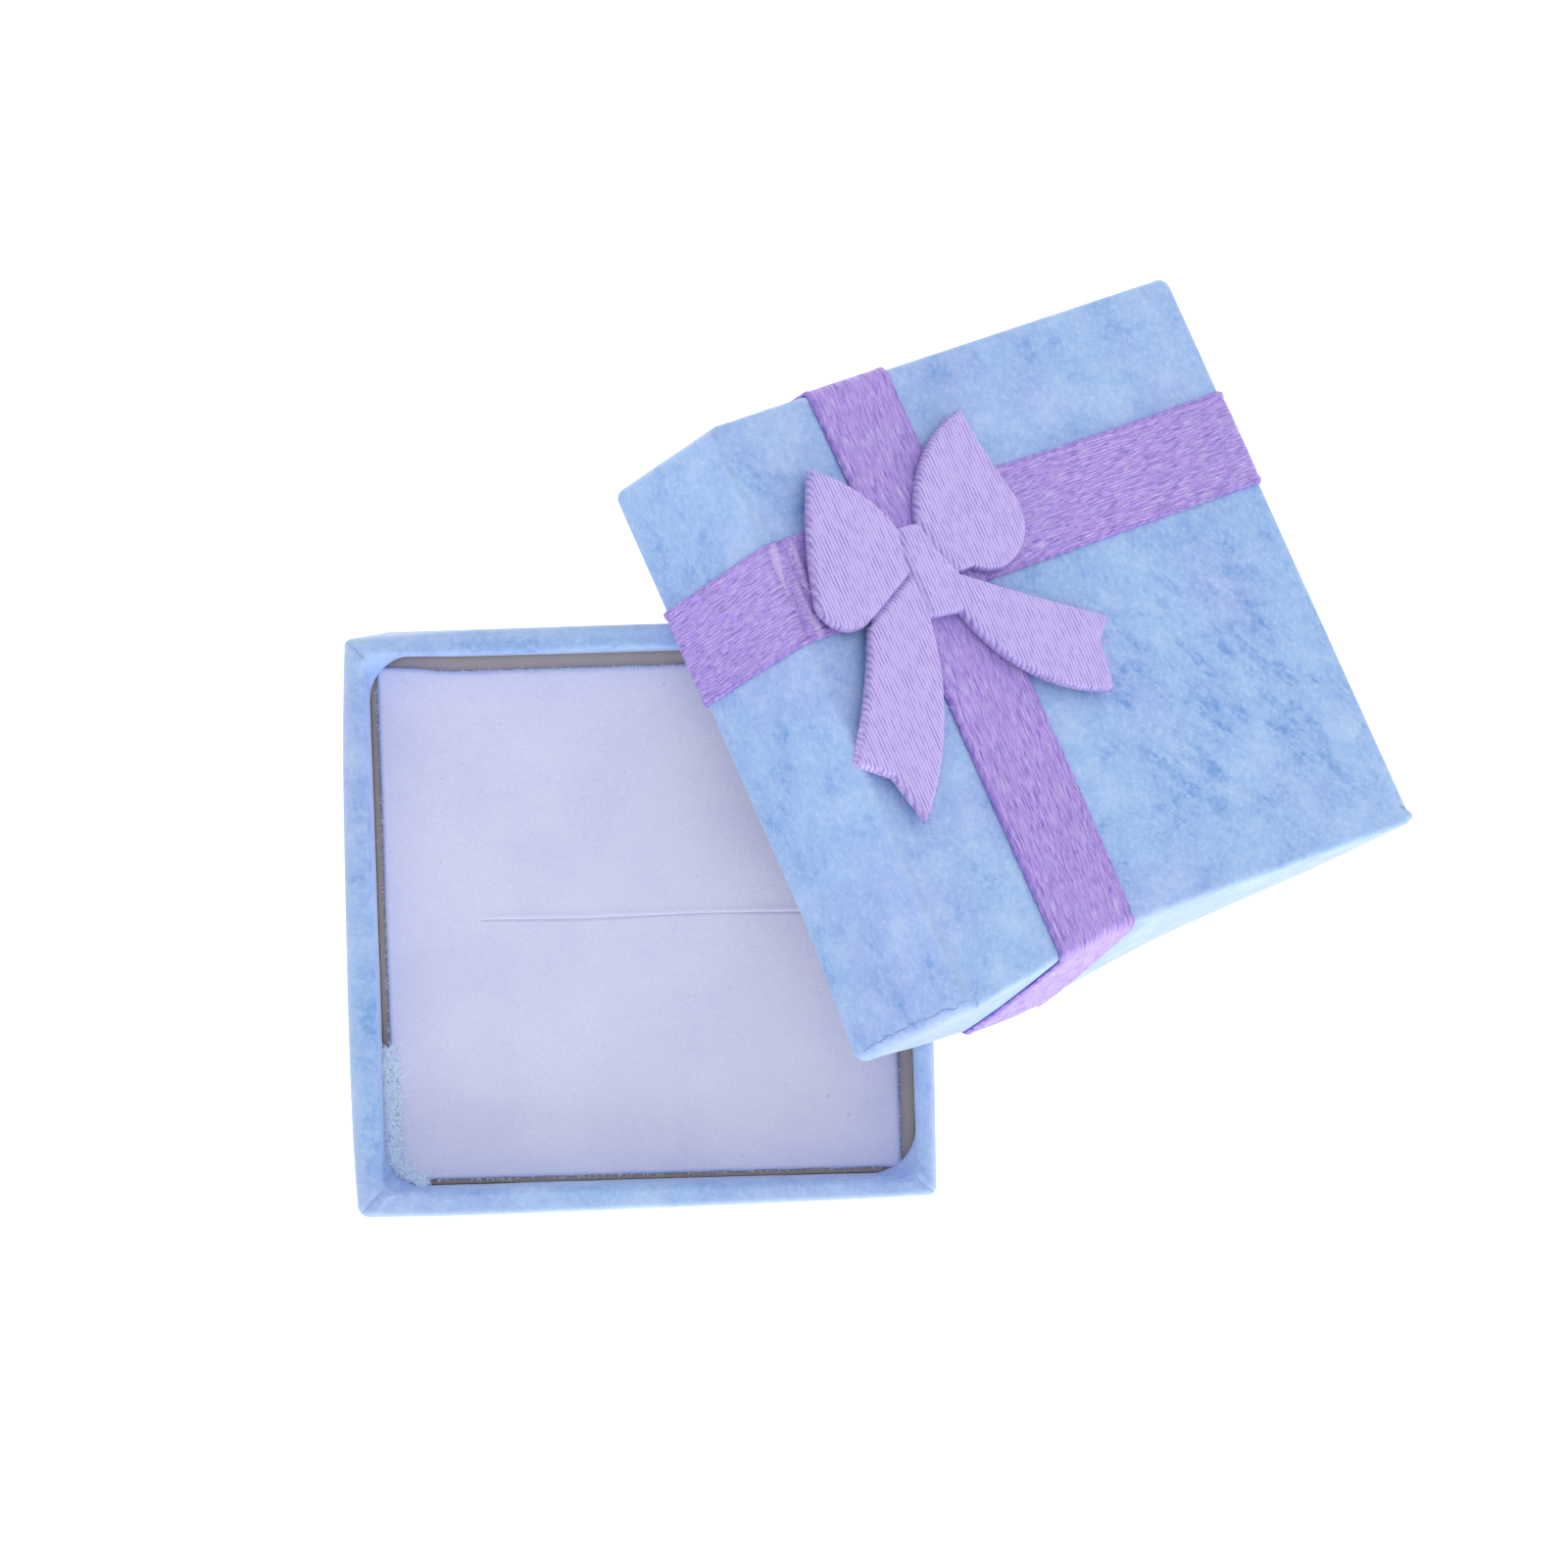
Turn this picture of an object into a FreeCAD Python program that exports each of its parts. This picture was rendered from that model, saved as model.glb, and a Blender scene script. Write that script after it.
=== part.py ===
"""Small lift-off-lid jewellery gift box, open, with its lid leaning on the base tray.

Millimetres, +Z up.  The origin is the centre of the base tray's underside.  +X is east and
+Y is north.  The tray stands square to the axes with its mouth up.  The lid is built upright
about the centre of its own rim, mouth down, and is then leaned: its west wall rests across
the tray's north rim, its south wall rests across the tray's east rim, and the corner between
its north and east walls stands on the table.
"""

import FreeCAD, Part
import math
import os

Vector = FreeCAD.Vector

# ---- base tray ------------------------------------------------------------------------
BASE_WIDTH = 39.0  # outside, east to west, over the wrap
BASE_LENGTH = 39.0  # outside, north to south, over the wrap
BASE_HEIGHT = 26.0  # underside to rim, over the wrap

# ---- board, paper and tape shared by tray and lid ---------------------------------------
BOARD_THICKNESS = 1.0
PAPER_THICKNESS = 0.125
TAPE_THICKNESS = 0.1
TAPE_REACH = 7.0  # how far a corner tape runs along each wall
TAPE_END_GAP = 1.0  # bare board above and below a tape
BOARD_CORNER_RADIUS = 0.5
BOARD_SEAM = 0.15  # open butt joint between two folded-up walls
WALL_THICKNESS = BOARD_THICKNESS + 2 * PAPER_THICKNESS
BASE_TURN_IN = 3.3  # how far the wrap runs down inside the tray
LID_TURN_IN = 8.0  # how far the wrap runs up inside the lid

# ---- lid --------------------------------------------------------------------------------
LID_CLEARANCE = 0.25  # between lid and tray on each side when closed
LID_DEPTH = 13.2  # rim to top, over the wrap
LID_WIDTH = BASE_WIDTH + 2 * (LID_CLEARANCE + WALL_THICKNESS)
LID_LENGTH = BASE_LENGTH + 2 * (LID_CLEARANCE + WALL_THICKNESS)

# ---- how the lid leans ------------------------------------------------------------------
LEAN_ALONG_WEST = 10.4  # contact on the lid's west wall, from its north-west corner
LEAN_ALONG_SOUTH = 6.7  # contact on the lid's south wall, from its south-west corner
LEAN_TURN = 17.8  # degrees that the lid is turned anticlockwise, seen from above
LEAN_GAP = 0.15  # left open at each contact

# ---- cushion insert ---------------------------------------------------------------------
INSERT_GAP_WEST = 0.4
INSERT_GAP_EAST = 1.1
INSERT_GAP_SOUTH = 0.3
INSERT_GAP_NORTH = 1.2
INSERT_FLOOR_GAP = 0.1
INSERT_RECESS = 3.0  # face of the insert below the tray's rim
FACE_THICKNESS = 0.5
CARD_THICKNESS = 1.0
CARD_GAP = 0.3  # between the card and the tray's board on each side
SLIT_LENGTH = 23.0
SLIT_WIDTH = 0.3
SLIT_END_LENGTH = 5.4
SLIT_DEPTH = 12.0
SLIT_EAST_OF_MIDDLE = 0.3
SLIT_NORTH_OF_MIDDLE = 0.3
FLAP_LENGTH = 10.0  # flocked edge left standing against the west wall
FLAP_WIDTH = 1.0
FLAP_RISE = 0.7

# ---- ribbons ----------------------------------------------------------------------------
RIBBON_WIDTH = 7.0
RIBBON_THICKNESS = 0.2
RIBBON_TUCK = 6.0  # end of each ribbon inside the lid, above the rim
RIBBON_RAMP = 0.8  # where the upper ribbon climbs onto the lower one
CROSSING_EAST = 12.0  # middle of the crossing from the lid's west side
CROSSING_SOUTH = 12.3  # middle of the crossing from the lid's north side

# ---- bow --------------------------------------------------------------------------------
BOW_BACKING_THICKNESS = 0.12
BOW_CORE_THICKNESS = 0.5
BOW_FACE_THICKNESS = 0.18
KNOT_WEST_OF_CROSSING = 1.0
KNOT_SOUTH_OF_CROSSING = 1.5
GLUE_THICKNESS = 0.1
GLUE_RADIUS = 2.0
# Outline from the knot's middle (+x east, +y north along the lid), anticlockwise.  A line
# is one end point; an arc is a point on the way and an end point.
BOW_START = (-1.0, 3.3)
BOW_OUTLINE = [
    ("arc", (-2.7, 6.4), (-5.7, 8.9)),  # left wing, inner edge to its tip
    ("arc", (-8.2, 4.4), (-9.8, 0.0)),
    ("arc", (-9.0, -1.6), (-6.6, -2.2)),  # left wing, rounded foot
    ("line", (-5.7, -1.75)),
    ("line", (-1.7, 0.05)),  # cut between left wing and left tail
    ("line", (-1.75, -0.15)),
    ("line", (-5.8, -2.0)),
    ("line", (-6.5, -2.3)),
    ("arc", (-9.0, -6.4), (-12.2, -10.4)),  # left tail, outer edge
    ("line", (-9.7, -12.2)),  # notch
    ("line", (-8.7, -15.7)),
    ("arc", (-3.4, -8.9), (-1.5, -3.2)),  # left tail, inner edge
    ("line", (1.1, -3.5)),  # foot of the knot
    ("arc", (4.9, -9.3), (10.4, -12.1)),  # right tail, lower edge
    ("line", (11.1, -8.6)),  # notch
    ("line", (12.6, -7.2)),
    ("arc", (7.6, -4.3), (2.4, -1.05)),  # right tail, upper edge
    ("line", (3.6, -1.0)),
    ("arc", (8.4, -0.6), (9.4, 2.8)),  # right wing, rounded foot
    ("arc", (8.6, 6.2), (8.1, 9.5)),
    ("arc", (3.4, 7.1), (0.7, 3.2)),  # right wing, inner edge
    ("line", BOW_START),  # top of the knot
]


def centred_box(width, length, low, high, centre=(0.0, 0.0)):
    """Block of the given size about a centre, from height low to height high."""
    corner = Vector(centre[0] - width / 2, centre[1] - length / 2, low)
    return Part.makeBox(width, length, high - low, corner)


def rounded_box(width, length, low, high, radius):
    """Centred block whose four upright edges are rounded."""
    box = centred_box(width, length, low, high)
    upright = [e for e in box.Edges if abs(e.tangentAt(e.FirstParameter).z) > 0.99]
    return box.makeFillet(radius, upright)


def tray_board(width, length, height):
    """Folded board tray, mouth up: a floor and four walls, open at their corner joints.

    width, length and height are the outside of the finished wrapped tray.  The north and
    south walls run full width and the east and west walls butt between them.
    """
    skin = PAPER_THICKNESS
    outer = rounded_box(width - 2 * skin, length - 2 * skin, skin, height - skin, BOARD_CORNER_RADIUS)
    floor_top = skin + BOARD_THICKNESS
    inner_width = width - 2 * (skin + BOARD_THICKNESS)
    inner_length = length - 2 * (skin + BOARD_THICKNESS)
    board = outer.cut(centred_box(inner_width, inner_length, floor_top, height))
    for side_x in (-1, 1):
        for side_y in (-1, 1):
            middle = (side_x * (width - skin) / 2, side_y * (inner_length - BOARD_SEAM) / 2)
            seam_width = 2 * BOARD_THICKNESS + skin
            board = board.cut(centred_box(seam_width, BOARD_SEAM, floor_top, height, middle))
    return board


def corner_tape(width, length, height, side_x, side_y):
    """Thin tape bent round one upright corner of the board, bedded flush in its surface."""
    skin = PAPER_THICKNESS
    low = skin + TAPE_END_GAP
    high = height - skin - TAPE_END_GAP
    outer = rounded_box(width - 2 * skin, length - 2 * skin, low, high, BOARD_CORNER_RADIUS)
    inset = 2 * (skin + TAPE_THICKNESS)
    inner = rounded_box(width - inset, length - inset, low, high, BOARD_CORNER_RADIUS - TAPE_THICKNESS)
    corner = (side_x * (width / 2 - skin), side_y * (length / 2 - skin))
    window = centred_box(2 * TAPE_REACH, 2 * TAPE_REACH, low, high, corner)
    return outer.cut(inner).common(window)


def tray_wrap(width, length, height, turn_in):
    """Paper glued over the whole tray: underside, walls, rim and a turn-in down the inside."""
    skin = PAPER_THICKNESS
    outer = rounded_box(width, length, 0.0, height, BOARD_CORNER_RADIUS + skin)
    board = rounded_box(width - 2 * skin, length - 2 * skin, skin, height - skin, BOARD_CORNER_RADIUS)
    inner_width = width - 2 * WALL_THICKNESS
    inner_length = length - 2 * WALL_THICKNESS
    board_inner = centred_box(inner_width + 2 * skin, inner_length + 2 * skin, 0.0, height)
    lining = board_inner.cut(centred_box(inner_width, inner_length, 0.0, height))
    lining = lining.common(centred_box(width, length, height - turn_in, height - skin))
    mouth = centred_box(inner_width, inner_length, height - 2 * skin, height)
    return outer.cut(board).fuse(lining).cut(mouth).removeSplitter()


def boxed_pieces(prefix, width, length, height, turn_in, mouth_up=True):
    """Board, four corner tapes and wrap of one tray, by node name.

    A mouth-down tray is turned over about X, so its north and south corners change places.
    """
    board = tray_board(width, length, height)
    pieces = {}
    for side_x, east_west in ((-1, "west"), (1, "east")):
        for side_y, north_south in ((-1, "south"), (1, "north")):
            built_y = side_y if mouth_up else -side_y
            tape = corner_tape(width, length, height, side_x, built_y)
            board = board.cut(tape)
            pieces[f"{prefix}_corner_tape_{north_south}{east_west}"] = tape
    pieces[f"{prefix}_board"] = board
    pieces[f"{prefix}_wrap"] = tray_wrap(width, length, height, turn_in)
    if not mouth_up:
        turned_over = FreeCAD.Rotation(Vector(1, 0, 0), 180)
        for shape in pieces.values():
            shape.Placement = FreeCAD.Placement(Vector(0, 0, height), turned_over)
    return pieces


def insert_pieces():
    """Foam block, grey card and flocked face of the insert, all cut through by the ring slit.

    The card nearly fills the tray.  The face on it and the foam under it are smaller.
    """
    west = -BASE_WIDTH / 2 + WALL_THICKNESS + INSERT_GAP_WEST
    east = BASE_WIDTH / 2 - WALL_THICKNESS - INSERT_GAP_EAST
    south = -BASE_LENGTH / 2 + WALL_THICKNESS + INSERT_GAP_SOUTH
    north = BASE_LENGTH / 2 - WALL_THICKNESS - INSERT_GAP_NORTH
    middle = ((west + east) / 2, (south + north) / 2)
    floor_top = PAPER_THICKNESS + BOARD_THICKNESS
    top = BASE_HEIGHT - INSERT_RECESS
    card_top = top - FACE_THICKNESS
    card_low = card_top - CARD_THICKNESS
    foam = centred_box(east - west, north - south, floor_top + INSERT_FLOOR_GAP, card_low, middle)
    card_inset = 2 * (PAPER_THICKNESS + BOARD_THICKNESS + CARD_GAP)
    card = centred_box(BASE_WIDTH - card_inset, BASE_LENGTH - card_inset, card_low, card_top)
    face = centred_box(east - west, north - south, card_top, top, middle)
    flap = centred_box(
        FLAP_WIDTH, FLAP_LENGTH, card_top, top + FLAP_RISE, (west + FLAP_WIDTH / 2, south + FLAP_LENGTH / 2)
    )
    face = face.fuse(flap).removeSplitter()

    slit_x = middle[0] + SLIT_EAST_OF_MIDDLE
    slit_y = middle[1] + SLIT_NORTH_OF_MIDDLE
    slit_floor = top - SLIT_DEPTH
    slit = centred_box(SLIT_LENGTH, SLIT_WIDTH, slit_floor, top, (slit_x, slit_y))
    for side in (-1, 1):
        end = (slit_x + side * SLIT_LENGTH / 2, slit_y)
        slit = slit.fuse(centred_box(SLIT_WIDTH, SLIT_END_LENGTH, slit_floor, top, end))
    return {"insert_foam": foam.cut(slit), "insert_card": card.cut(slit), "insert_face": face.cut(slit)}


def offset_path(path, thickness):
    """Path moved sideways to its right by thickness, with mitred corners."""
    normals = []
    for (s0, z0), (s1, z1) in zip(path, path[1:]):
        run = math.hypot(s1 - s0, z1 - z0)
        normals.append(((z1 - z0) / run, -(s1 - s0) / run))
    moved = []
    for index, (s, z) in enumerate(path):
        before = normals[max(index - 1, 0)]
        after = normals[min(index, len(normals) - 1)]
        stretch = thickness / (1 + before[0] * after[0] + before[1] * after[1])
        moved.append((s + stretch * (before[0] + after[0]), z + stretch * (before[1] + after[1])))
    return moved


def ribbon(span, bump_middle=None):
    """Flat ribbon over the lid's top, down two walls, round the rim and up the inside.

    It is built along Y, centred on X = 0.  span is the lid's outside size along the ribbon.
    bump_middle is the place along Y where it climbs over another ribbon, or None.
    """
    outside = span / 2
    inside = outside - WALL_THICKNESS
    north_end = [(inside, RIBBON_TUCK), (inside, 0.0), (outside, 0.0), (outside, LID_DEPTH)]
    south_end = [(-s, z) for s, z in reversed(north_end)]
    climb = []
    if bump_middle is not None:
        half = RIBBON_WIDTH / 2
        raised = LID_DEPTH + RIBBON_THICKNESS
        climb = [
            (bump_middle + half + RIBBON_RAMP, LID_DEPTH),
            (bump_middle + half, raised),
            (bump_middle - half, raised),
            (bump_middle - half - RIBBON_RAMP, LID_DEPTH),
        ]
    path = north_end + climb + south_end
    outline = path + list(reversed(offset_path(path, RIBBON_THICKNESS)))
    points = [Vector(-RIBBON_WIDTH / 2, s, z) for s, z in outline + outline[:1]]
    return Part.Face(Part.makePolygon(points)).extrude(Vector(RIBBON_WIDTH, 0, 0))


def bow_layer(low, thickness, knot_x, knot_y):
    """One layer of the cut-out bow, from height low."""
    edges = []
    start = BOW_START
    for kind, *points in BOW_OUTLINE:
        ends = [Vector(knot_x + x, knot_y + y, low) for x, y in [start] + points]
        if kind == "arc":
            edges.append(Part.Arc(*ends).toShape())
        else:
            edges.append(Part.LineSegment(*ends).toShape())
        start = points[-1]
    return Part.Face(Part.Wire(edges)).extrude(Vector(0, 0, thickness))


def lid_pieces():
    """Every piece of the lid, upright, with its rim in the plane z = 0 and its mouth down."""
    pieces = boxed_pieces("lid", LID_WIDTH, LID_LENGTH, LID_DEPTH, LID_TURN_IN, mouth_up=False)
    cross_x = CROSSING_EAST - LID_WIDTH / 2
    cross_y = LID_LENGTH / 2 - CROSSING_SOUTH
    lengthwise = ribbon(LID_LENGTH, bump_middle=cross_y)
    lengthwise.Placement = FreeCAD.Placement(Vector(cross_x, 0, 0), FreeCAD.Rotation())
    crosswise = ribbon(LID_WIDTH)
    quarter_turn = FreeCAD.Rotation(Vector(0, 0, 1), 90)
    crosswise.Placement = FreeCAD.Placement(Vector(0, cross_y, 0), quarter_turn)
    pieces["ribbon_lengthwise"] = lengthwise
    pieces["ribbon_crosswise"] = crosswise

    knot_x = cross_x - KNOT_WEST_OF_CROSSING
    knot_y = cross_y - KNOT_SOUTH_OF_CROSSING
    height = LID_DEPTH + 2 * RIBBON_THICKNESS
    pieces["bow_glue_dot"] = Part.makeCylinder(GLUE_RADIUS, GLUE_THICKNESS, Vector(knot_x, knot_y, height))
    height += GLUE_THICKNESS
    layers = (
        ("bow_backing", BOW_BACKING_THICKNESS),
        ("bow_core", BOW_CORE_THICKNESS),
        ("bow_face", BOW_FACE_THICKNESS),
    )
    for name, thickness in layers:
        pieces[name] = bow_layer(height, thickness, knot_x, knot_y)
        height += thickness
    return pieces


def rim_plane():
    """Height and slopes of the lid's rim plane where its three supports hold it.

    The plane is z = height + slope_east * a + slope_south * b, with a and b measured along
    the rim from the lid's north-west corner.  The ribbon that wraps the west rim is what
    meets the tray there, a ribbon's thickness below the rim plane, so the plane's own tilt
    enters its condition and the three conditions are solved again until it settles.
    """
    rest = BASE_HEIGHT + LEAN_GAP
    upright = 1.0
    for _ in range(20):
        rows = (
            (1.0, WALL_THICKNESS + RIBBON_THICKNESS, LEAN_ALONG_WEST, rest + RIBBON_THICKNESS * upright),
            (1.0, LEAN_ALONG_SOUTH, LID_LENGTH - WALL_THICKNESS, rest),
            (1.0, LID_WIDTH, 0.0, LEAN_GAP),
        )
        ones, easts, souths, heights = (Vector(*column) for column in zip(*rows))
        scale = ones.dot(easts.cross(souths))
        height = heights.dot(easts.cross(souths)) / scale
        slope_east = ones.dot(heights.cross(souths)) / scale
        slope_south = ones.dot(easts.cross(heights)) / scale
        upright = math.sqrt(1 - slope_east**2 - slope_south**2)
    return height, slope_east, slope_south


def lid_lean():
    """Placement that carries the upright lid to where it leans on the tray."""
    height, slope_east, slope_south = rim_plane()
    turn = math.radians(LEAN_TURN)
    level = math.sqrt(1 - slope_east**2)
    east = Vector(level * math.cos(turn), level * math.sin(turn), slope_east)
    along = -slope_east * slope_south / level
    across = math.sqrt(1 - slope_south**2 - along**2)
    south = Vector(
        along * math.cos(turn) + across * math.sin(turn),
        along * math.sin(turn) - across * math.cos(turn),
        slope_south,
    )
    up = south.cross(east)
    west_contact = east * (WALL_THICKNESS + RIBBON_THICKNESS) + south * LEAN_ALONG_WEST - up * RIBBON_THICKNESS
    south_contact = east * LEAN_ALONG_SOUTH + south * (LID_LENGTH - WALL_THICKNESS)
    corner = Vector(BASE_WIDTH / 2 - south_contact.x, BASE_LENGTH / 2 - west_contact.y, height)
    middle = corner + east * (LID_WIDTH / 2) + south * (LID_LENGTH / 2)
    matrix = FreeCAD.Matrix(
        east.x, -south.x, up.x, middle.x,
        east.y, -south.y, up.y, middle.y,
        east.z, -south.z, up.z, middle.z,
        0.0, 0.0, 0.0, 1.0,
    )  # fmt: skip
    return FreeCAD.Placement(matrix)


def all_pieces():
    """Every node of the box, in place."""
    pieces = boxed_pieces("base", BASE_WIDTH, BASE_LENGTH, BASE_HEIGHT, BASE_TURN_IN)
    pieces.update(insert_pieces())
    lean = lid_lean()
    for name, shape in lid_pieces().items():
        shape.Placement = lean.multiply(shape.Placement)
        pieces[name] = shape
    return pieces


os.makedirs("parts", exist_ok=True)
for node, solid in all_pieces().items():
    solid.exportStep(f"parts/{node}.step")
    box = solid.BoundBox
    print(
        f"{node}: valid {solid.isValid()}, {len(solid.Solids)} solid, {solid.Volume:.1f} mm3,"
        f" x {box.XMin:.2f} to {box.XMax:.2f}, y {box.YMin:.2f} to {box.YMax:.2f},"
        f" z {box.ZMin:.2f} to {box.ZMax:.2f}"
    )
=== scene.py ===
"""Look of the small ring gift box: papered tray and lid, cushion insert, ribbons and bow."""

import logging
from dataclasses import dataclass
from enum import Enum

import bpy
import numpy as np
from mathutils import Matrix, Quaternion, Vector, geometry


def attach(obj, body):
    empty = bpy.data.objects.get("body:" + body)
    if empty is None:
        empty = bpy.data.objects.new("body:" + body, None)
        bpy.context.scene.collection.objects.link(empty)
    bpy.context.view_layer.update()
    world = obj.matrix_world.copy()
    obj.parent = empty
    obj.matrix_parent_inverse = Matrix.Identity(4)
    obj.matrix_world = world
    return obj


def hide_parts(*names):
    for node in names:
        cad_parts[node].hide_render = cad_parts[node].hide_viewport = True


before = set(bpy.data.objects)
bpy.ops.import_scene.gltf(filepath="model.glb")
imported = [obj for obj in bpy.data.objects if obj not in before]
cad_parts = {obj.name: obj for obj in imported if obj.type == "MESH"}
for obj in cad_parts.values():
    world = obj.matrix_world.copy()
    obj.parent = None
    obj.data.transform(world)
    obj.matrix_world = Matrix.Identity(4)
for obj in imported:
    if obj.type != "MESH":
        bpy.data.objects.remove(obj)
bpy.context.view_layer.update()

log = logging.getLogger("gift_box")
MM = 0.001
PAPER = 0.125  # wrapping paper's thickness, in millimetres
WALL = 1.25  # board with paper on both faces
Array = np.ndarray


# ---- shape helpers ------------------------------------------------------------------------


def smooth(low: float, high: float, x: Array) -> Array:
    """Smooth step: 0 before low, 1 past high, 3t^2 - 2t^3 between; low may be the larger."""
    t = np.clip((x - low) / (high - low), 0.0, 1.0)
    return t * t * (3.0 - 2.0 * t)


def bell(x: Array, centre: float, width: float) -> Array:
    """Bell curve, the exponential of minus ((x - centre) / width) squared."""
    return np.exp(-(((x - centre) / width) ** 2))


def ripple(x: Array, y: Array, pitch: float, seed: int) -> Array:
    """Slow uneven wave between -1 and 1.

    The mean of five sines whose crests run in random directions, with wavelengths from
    0.6 to 1.6 times the pitch.
    """
    rng = np.random.default_rng(seed)
    turn, shift = rng.uniform(0.0, 2.0 * np.pi, (2, 5))
    wave = 2.0 * np.pi / (pitch * rng.uniform(0.6, 1.6, 5))
    total = sum(
        np.sin(w * (x * np.cos(a) + y * np.sin(a)) + s) for w, a, s in zip(wave, turn, shift)
    )
    return total / 5.0


def arc_through(start: tuple, middle: tuple, end: tuple, count: int) -> Array:
    """Points on the circle through three points, from start to end without the end.

    The centre is where the perpendicular bisectors of the two chords meet.
    """
    a, b, c = (np.array(p, float) for p in (start, middle, end))
    middles = np.array([b @ b - a @ a, c @ c - b @ b])
    centre = np.linalg.solve(2.0 * np.array([b - a, c - b]), middles)
    angles = np.unwrap([np.arctan2(*(p - centre)[::-1]) for p in (a, b, c)])
    sweep = np.linspace(angles[0], angles[2], count, endpoint=False)[:, None]
    return centre + np.linalg.norm(a - centre) * np.hstack([np.cos(sweep), np.sin(sweep)])


def distance_to_lines(points: Array, starts: Array, ends: Array) -> Array:
    """Least distance from each point to a set of line pieces, all in the plane."""
    run = ends - starts
    length2 = np.maximum((run**2).sum(1), 1e-12)
    reach = points[:, None, :] - starts[None]
    t = np.clip((reach * run).sum(2) / length2, 0.0, 1.0)
    return np.linalg.norm(reach - t[..., None] * run, axis=2).min(1)


def grid_faces(rows: int, columns: int, ring: bool = False, flip: bool = False) -> list:
    """Quads of a grid whose points are numbered row by row; ring joins last column to first."""
    wide = np.arange(columns if ring else columns - 1)
    a = np.arange(rows - 1)[:, None] * columns + wide
    b = np.arange(rows - 1)[:, None] * columns + (wide + 1) % columns
    quads = np.stack([a, b, b + columns, a + columns], -1).reshape(-1, 4)
    return (quads[:, ::-1] if flip else quads).tolist()


def fan_faces(first: int, columns: int, pole: int, flip: bool = False) -> list:
    """Triangles from a ring of columns points, starting at first, to one pole."""
    a = first + np.arange(columns)
    b = first + (np.arange(columns) + 1) % columns
    fan = np.stack([a, b, np.full(columns, pole)], -1)
    return (fan[:, ::-1] if flip else fan).tolist()


@dataclass(frozen=True)
class Slack:
    """How the lid's south wall has gone slack: rim pushed out, top edge drawn in."""

    middle: float = -8.0
    reach: float = 10.0
    rim_out: float = 0.95
    top_in: float = 1.35
    depth: float = 13.2
    wall_at: float = -21.0
    tip: float = -8.0
    corner_out: float = 0.7

    def __call__(self, points: Array) -> Array:
        """Moves points along Y by a slope over z and a fade away from the wall.

        The rim's share is a bell of x; the top's is a tent, highest under the ribbon and
        nothing at both corners.  The rim's south-west corner also splays out along X.
        """
        x, y, z = points.T
        share = np.clip(z / self.depth, 0.0, 1.0)
        near = smooth(self.wall_at + 10.0, self.wall_at + 1.2, y)
        corner = smooth(self.wall_at, self.wall_at + 5.0, x)
        rim = self.rim_out * bell(x, self.middle, self.reach) * corner * (1.0 - share)
        west = (x - self.wall_at) / (self.tip - self.wall_at)
        tent = np.clip(np.minimum(west, (-self.wall_at - x) / (-self.wall_at - self.tip)), 0.0, 1.0)
        top = self.top_in * tent * share**1.5
        splay = smooth(self.wall_at + 8.0, self.wall_at, x)
        splay = splay * smooth(self.wall_at + 11.0, self.wall_at, y)
        return np.column_stack([x - self.corner_out * splay * (1.0 - share), y + (top - rim) * near, z])


@dataclass(frozen=True)
class Place:
    """A sub-assembly's own millimetre frame: its origin, and rows east, north and up."""

    origin: Array
    axes: Array
    slack: "Slack | None" = None

    def __call__(self, points: Array) -> Array:
        """Own points as scene metres: origin + x east + y north + z up, after any slack."""
        if self.slack:
            points = self.slack(points)
        return (self.origin + points @ self.axes) * MM

    def box(self, node: str) -> tuple[Array, Array]:
        """Lowest and highest corner of a CAD node in this frame, in millimetres."""
        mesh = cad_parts[node].data
        flat = np.empty(len(mesh.vertices) * 3)
        mesh.vertices.foreach_get("co", flat)
        own = (flat.reshape(-1, 3) / MM - self.origin) @ self.axes.T
        return own.min(0), own.max(0)


def upright_place() -> Place:
    """Frame of the tray and the insert, which is the scene's own."""
    return Place(np.zeros(3), np.eye(3))


def leaning_place(board: str, skin: float) -> Place:
    """Frame of the lid, from its board: rim plane's centre, and the board's face normals.

    The largest flat face gives up, and the largest upright one that faces mostly along X
    gives east.

    Args:
        board: CAD node of the lid's board.
        skin: paper thickness below the board's rim.
    """
    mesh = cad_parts[board].data
    normals = np.empty(len(mesh.polygons) * 3)
    mesh.polygons.foreach_get("normal", normals)
    normals = normals.reshape(-1, 3)
    areas = np.empty(len(mesh.polygons))
    mesh.polygons.foreach_get("area", areas)
    up = normals[areas.argmax()]
    up = up * np.sign(up[2])
    walls = (np.abs(normals @ up) < 0.02) & (np.abs(normals[:, 0]) > np.abs(normals[:, 1]))
    east = normals[walls][areas[walls].argmax()]
    east = east * np.sign(east[0])
    north = np.cross(up, east)
    north /= np.linalg.norm(north)
    axes = np.array([np.cross(north, up), north, up])
    low, high = Place(np.zeros(3), axes).box(board)
    centre = np.array([(low[0] + high[0]) / 2, (low[1] + high[1]) / 2, low[2] - skin])
    return Place(centre @ axes, axes, Slack())


# ---- shader helpers -----------------------------------------------------------------------


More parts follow.
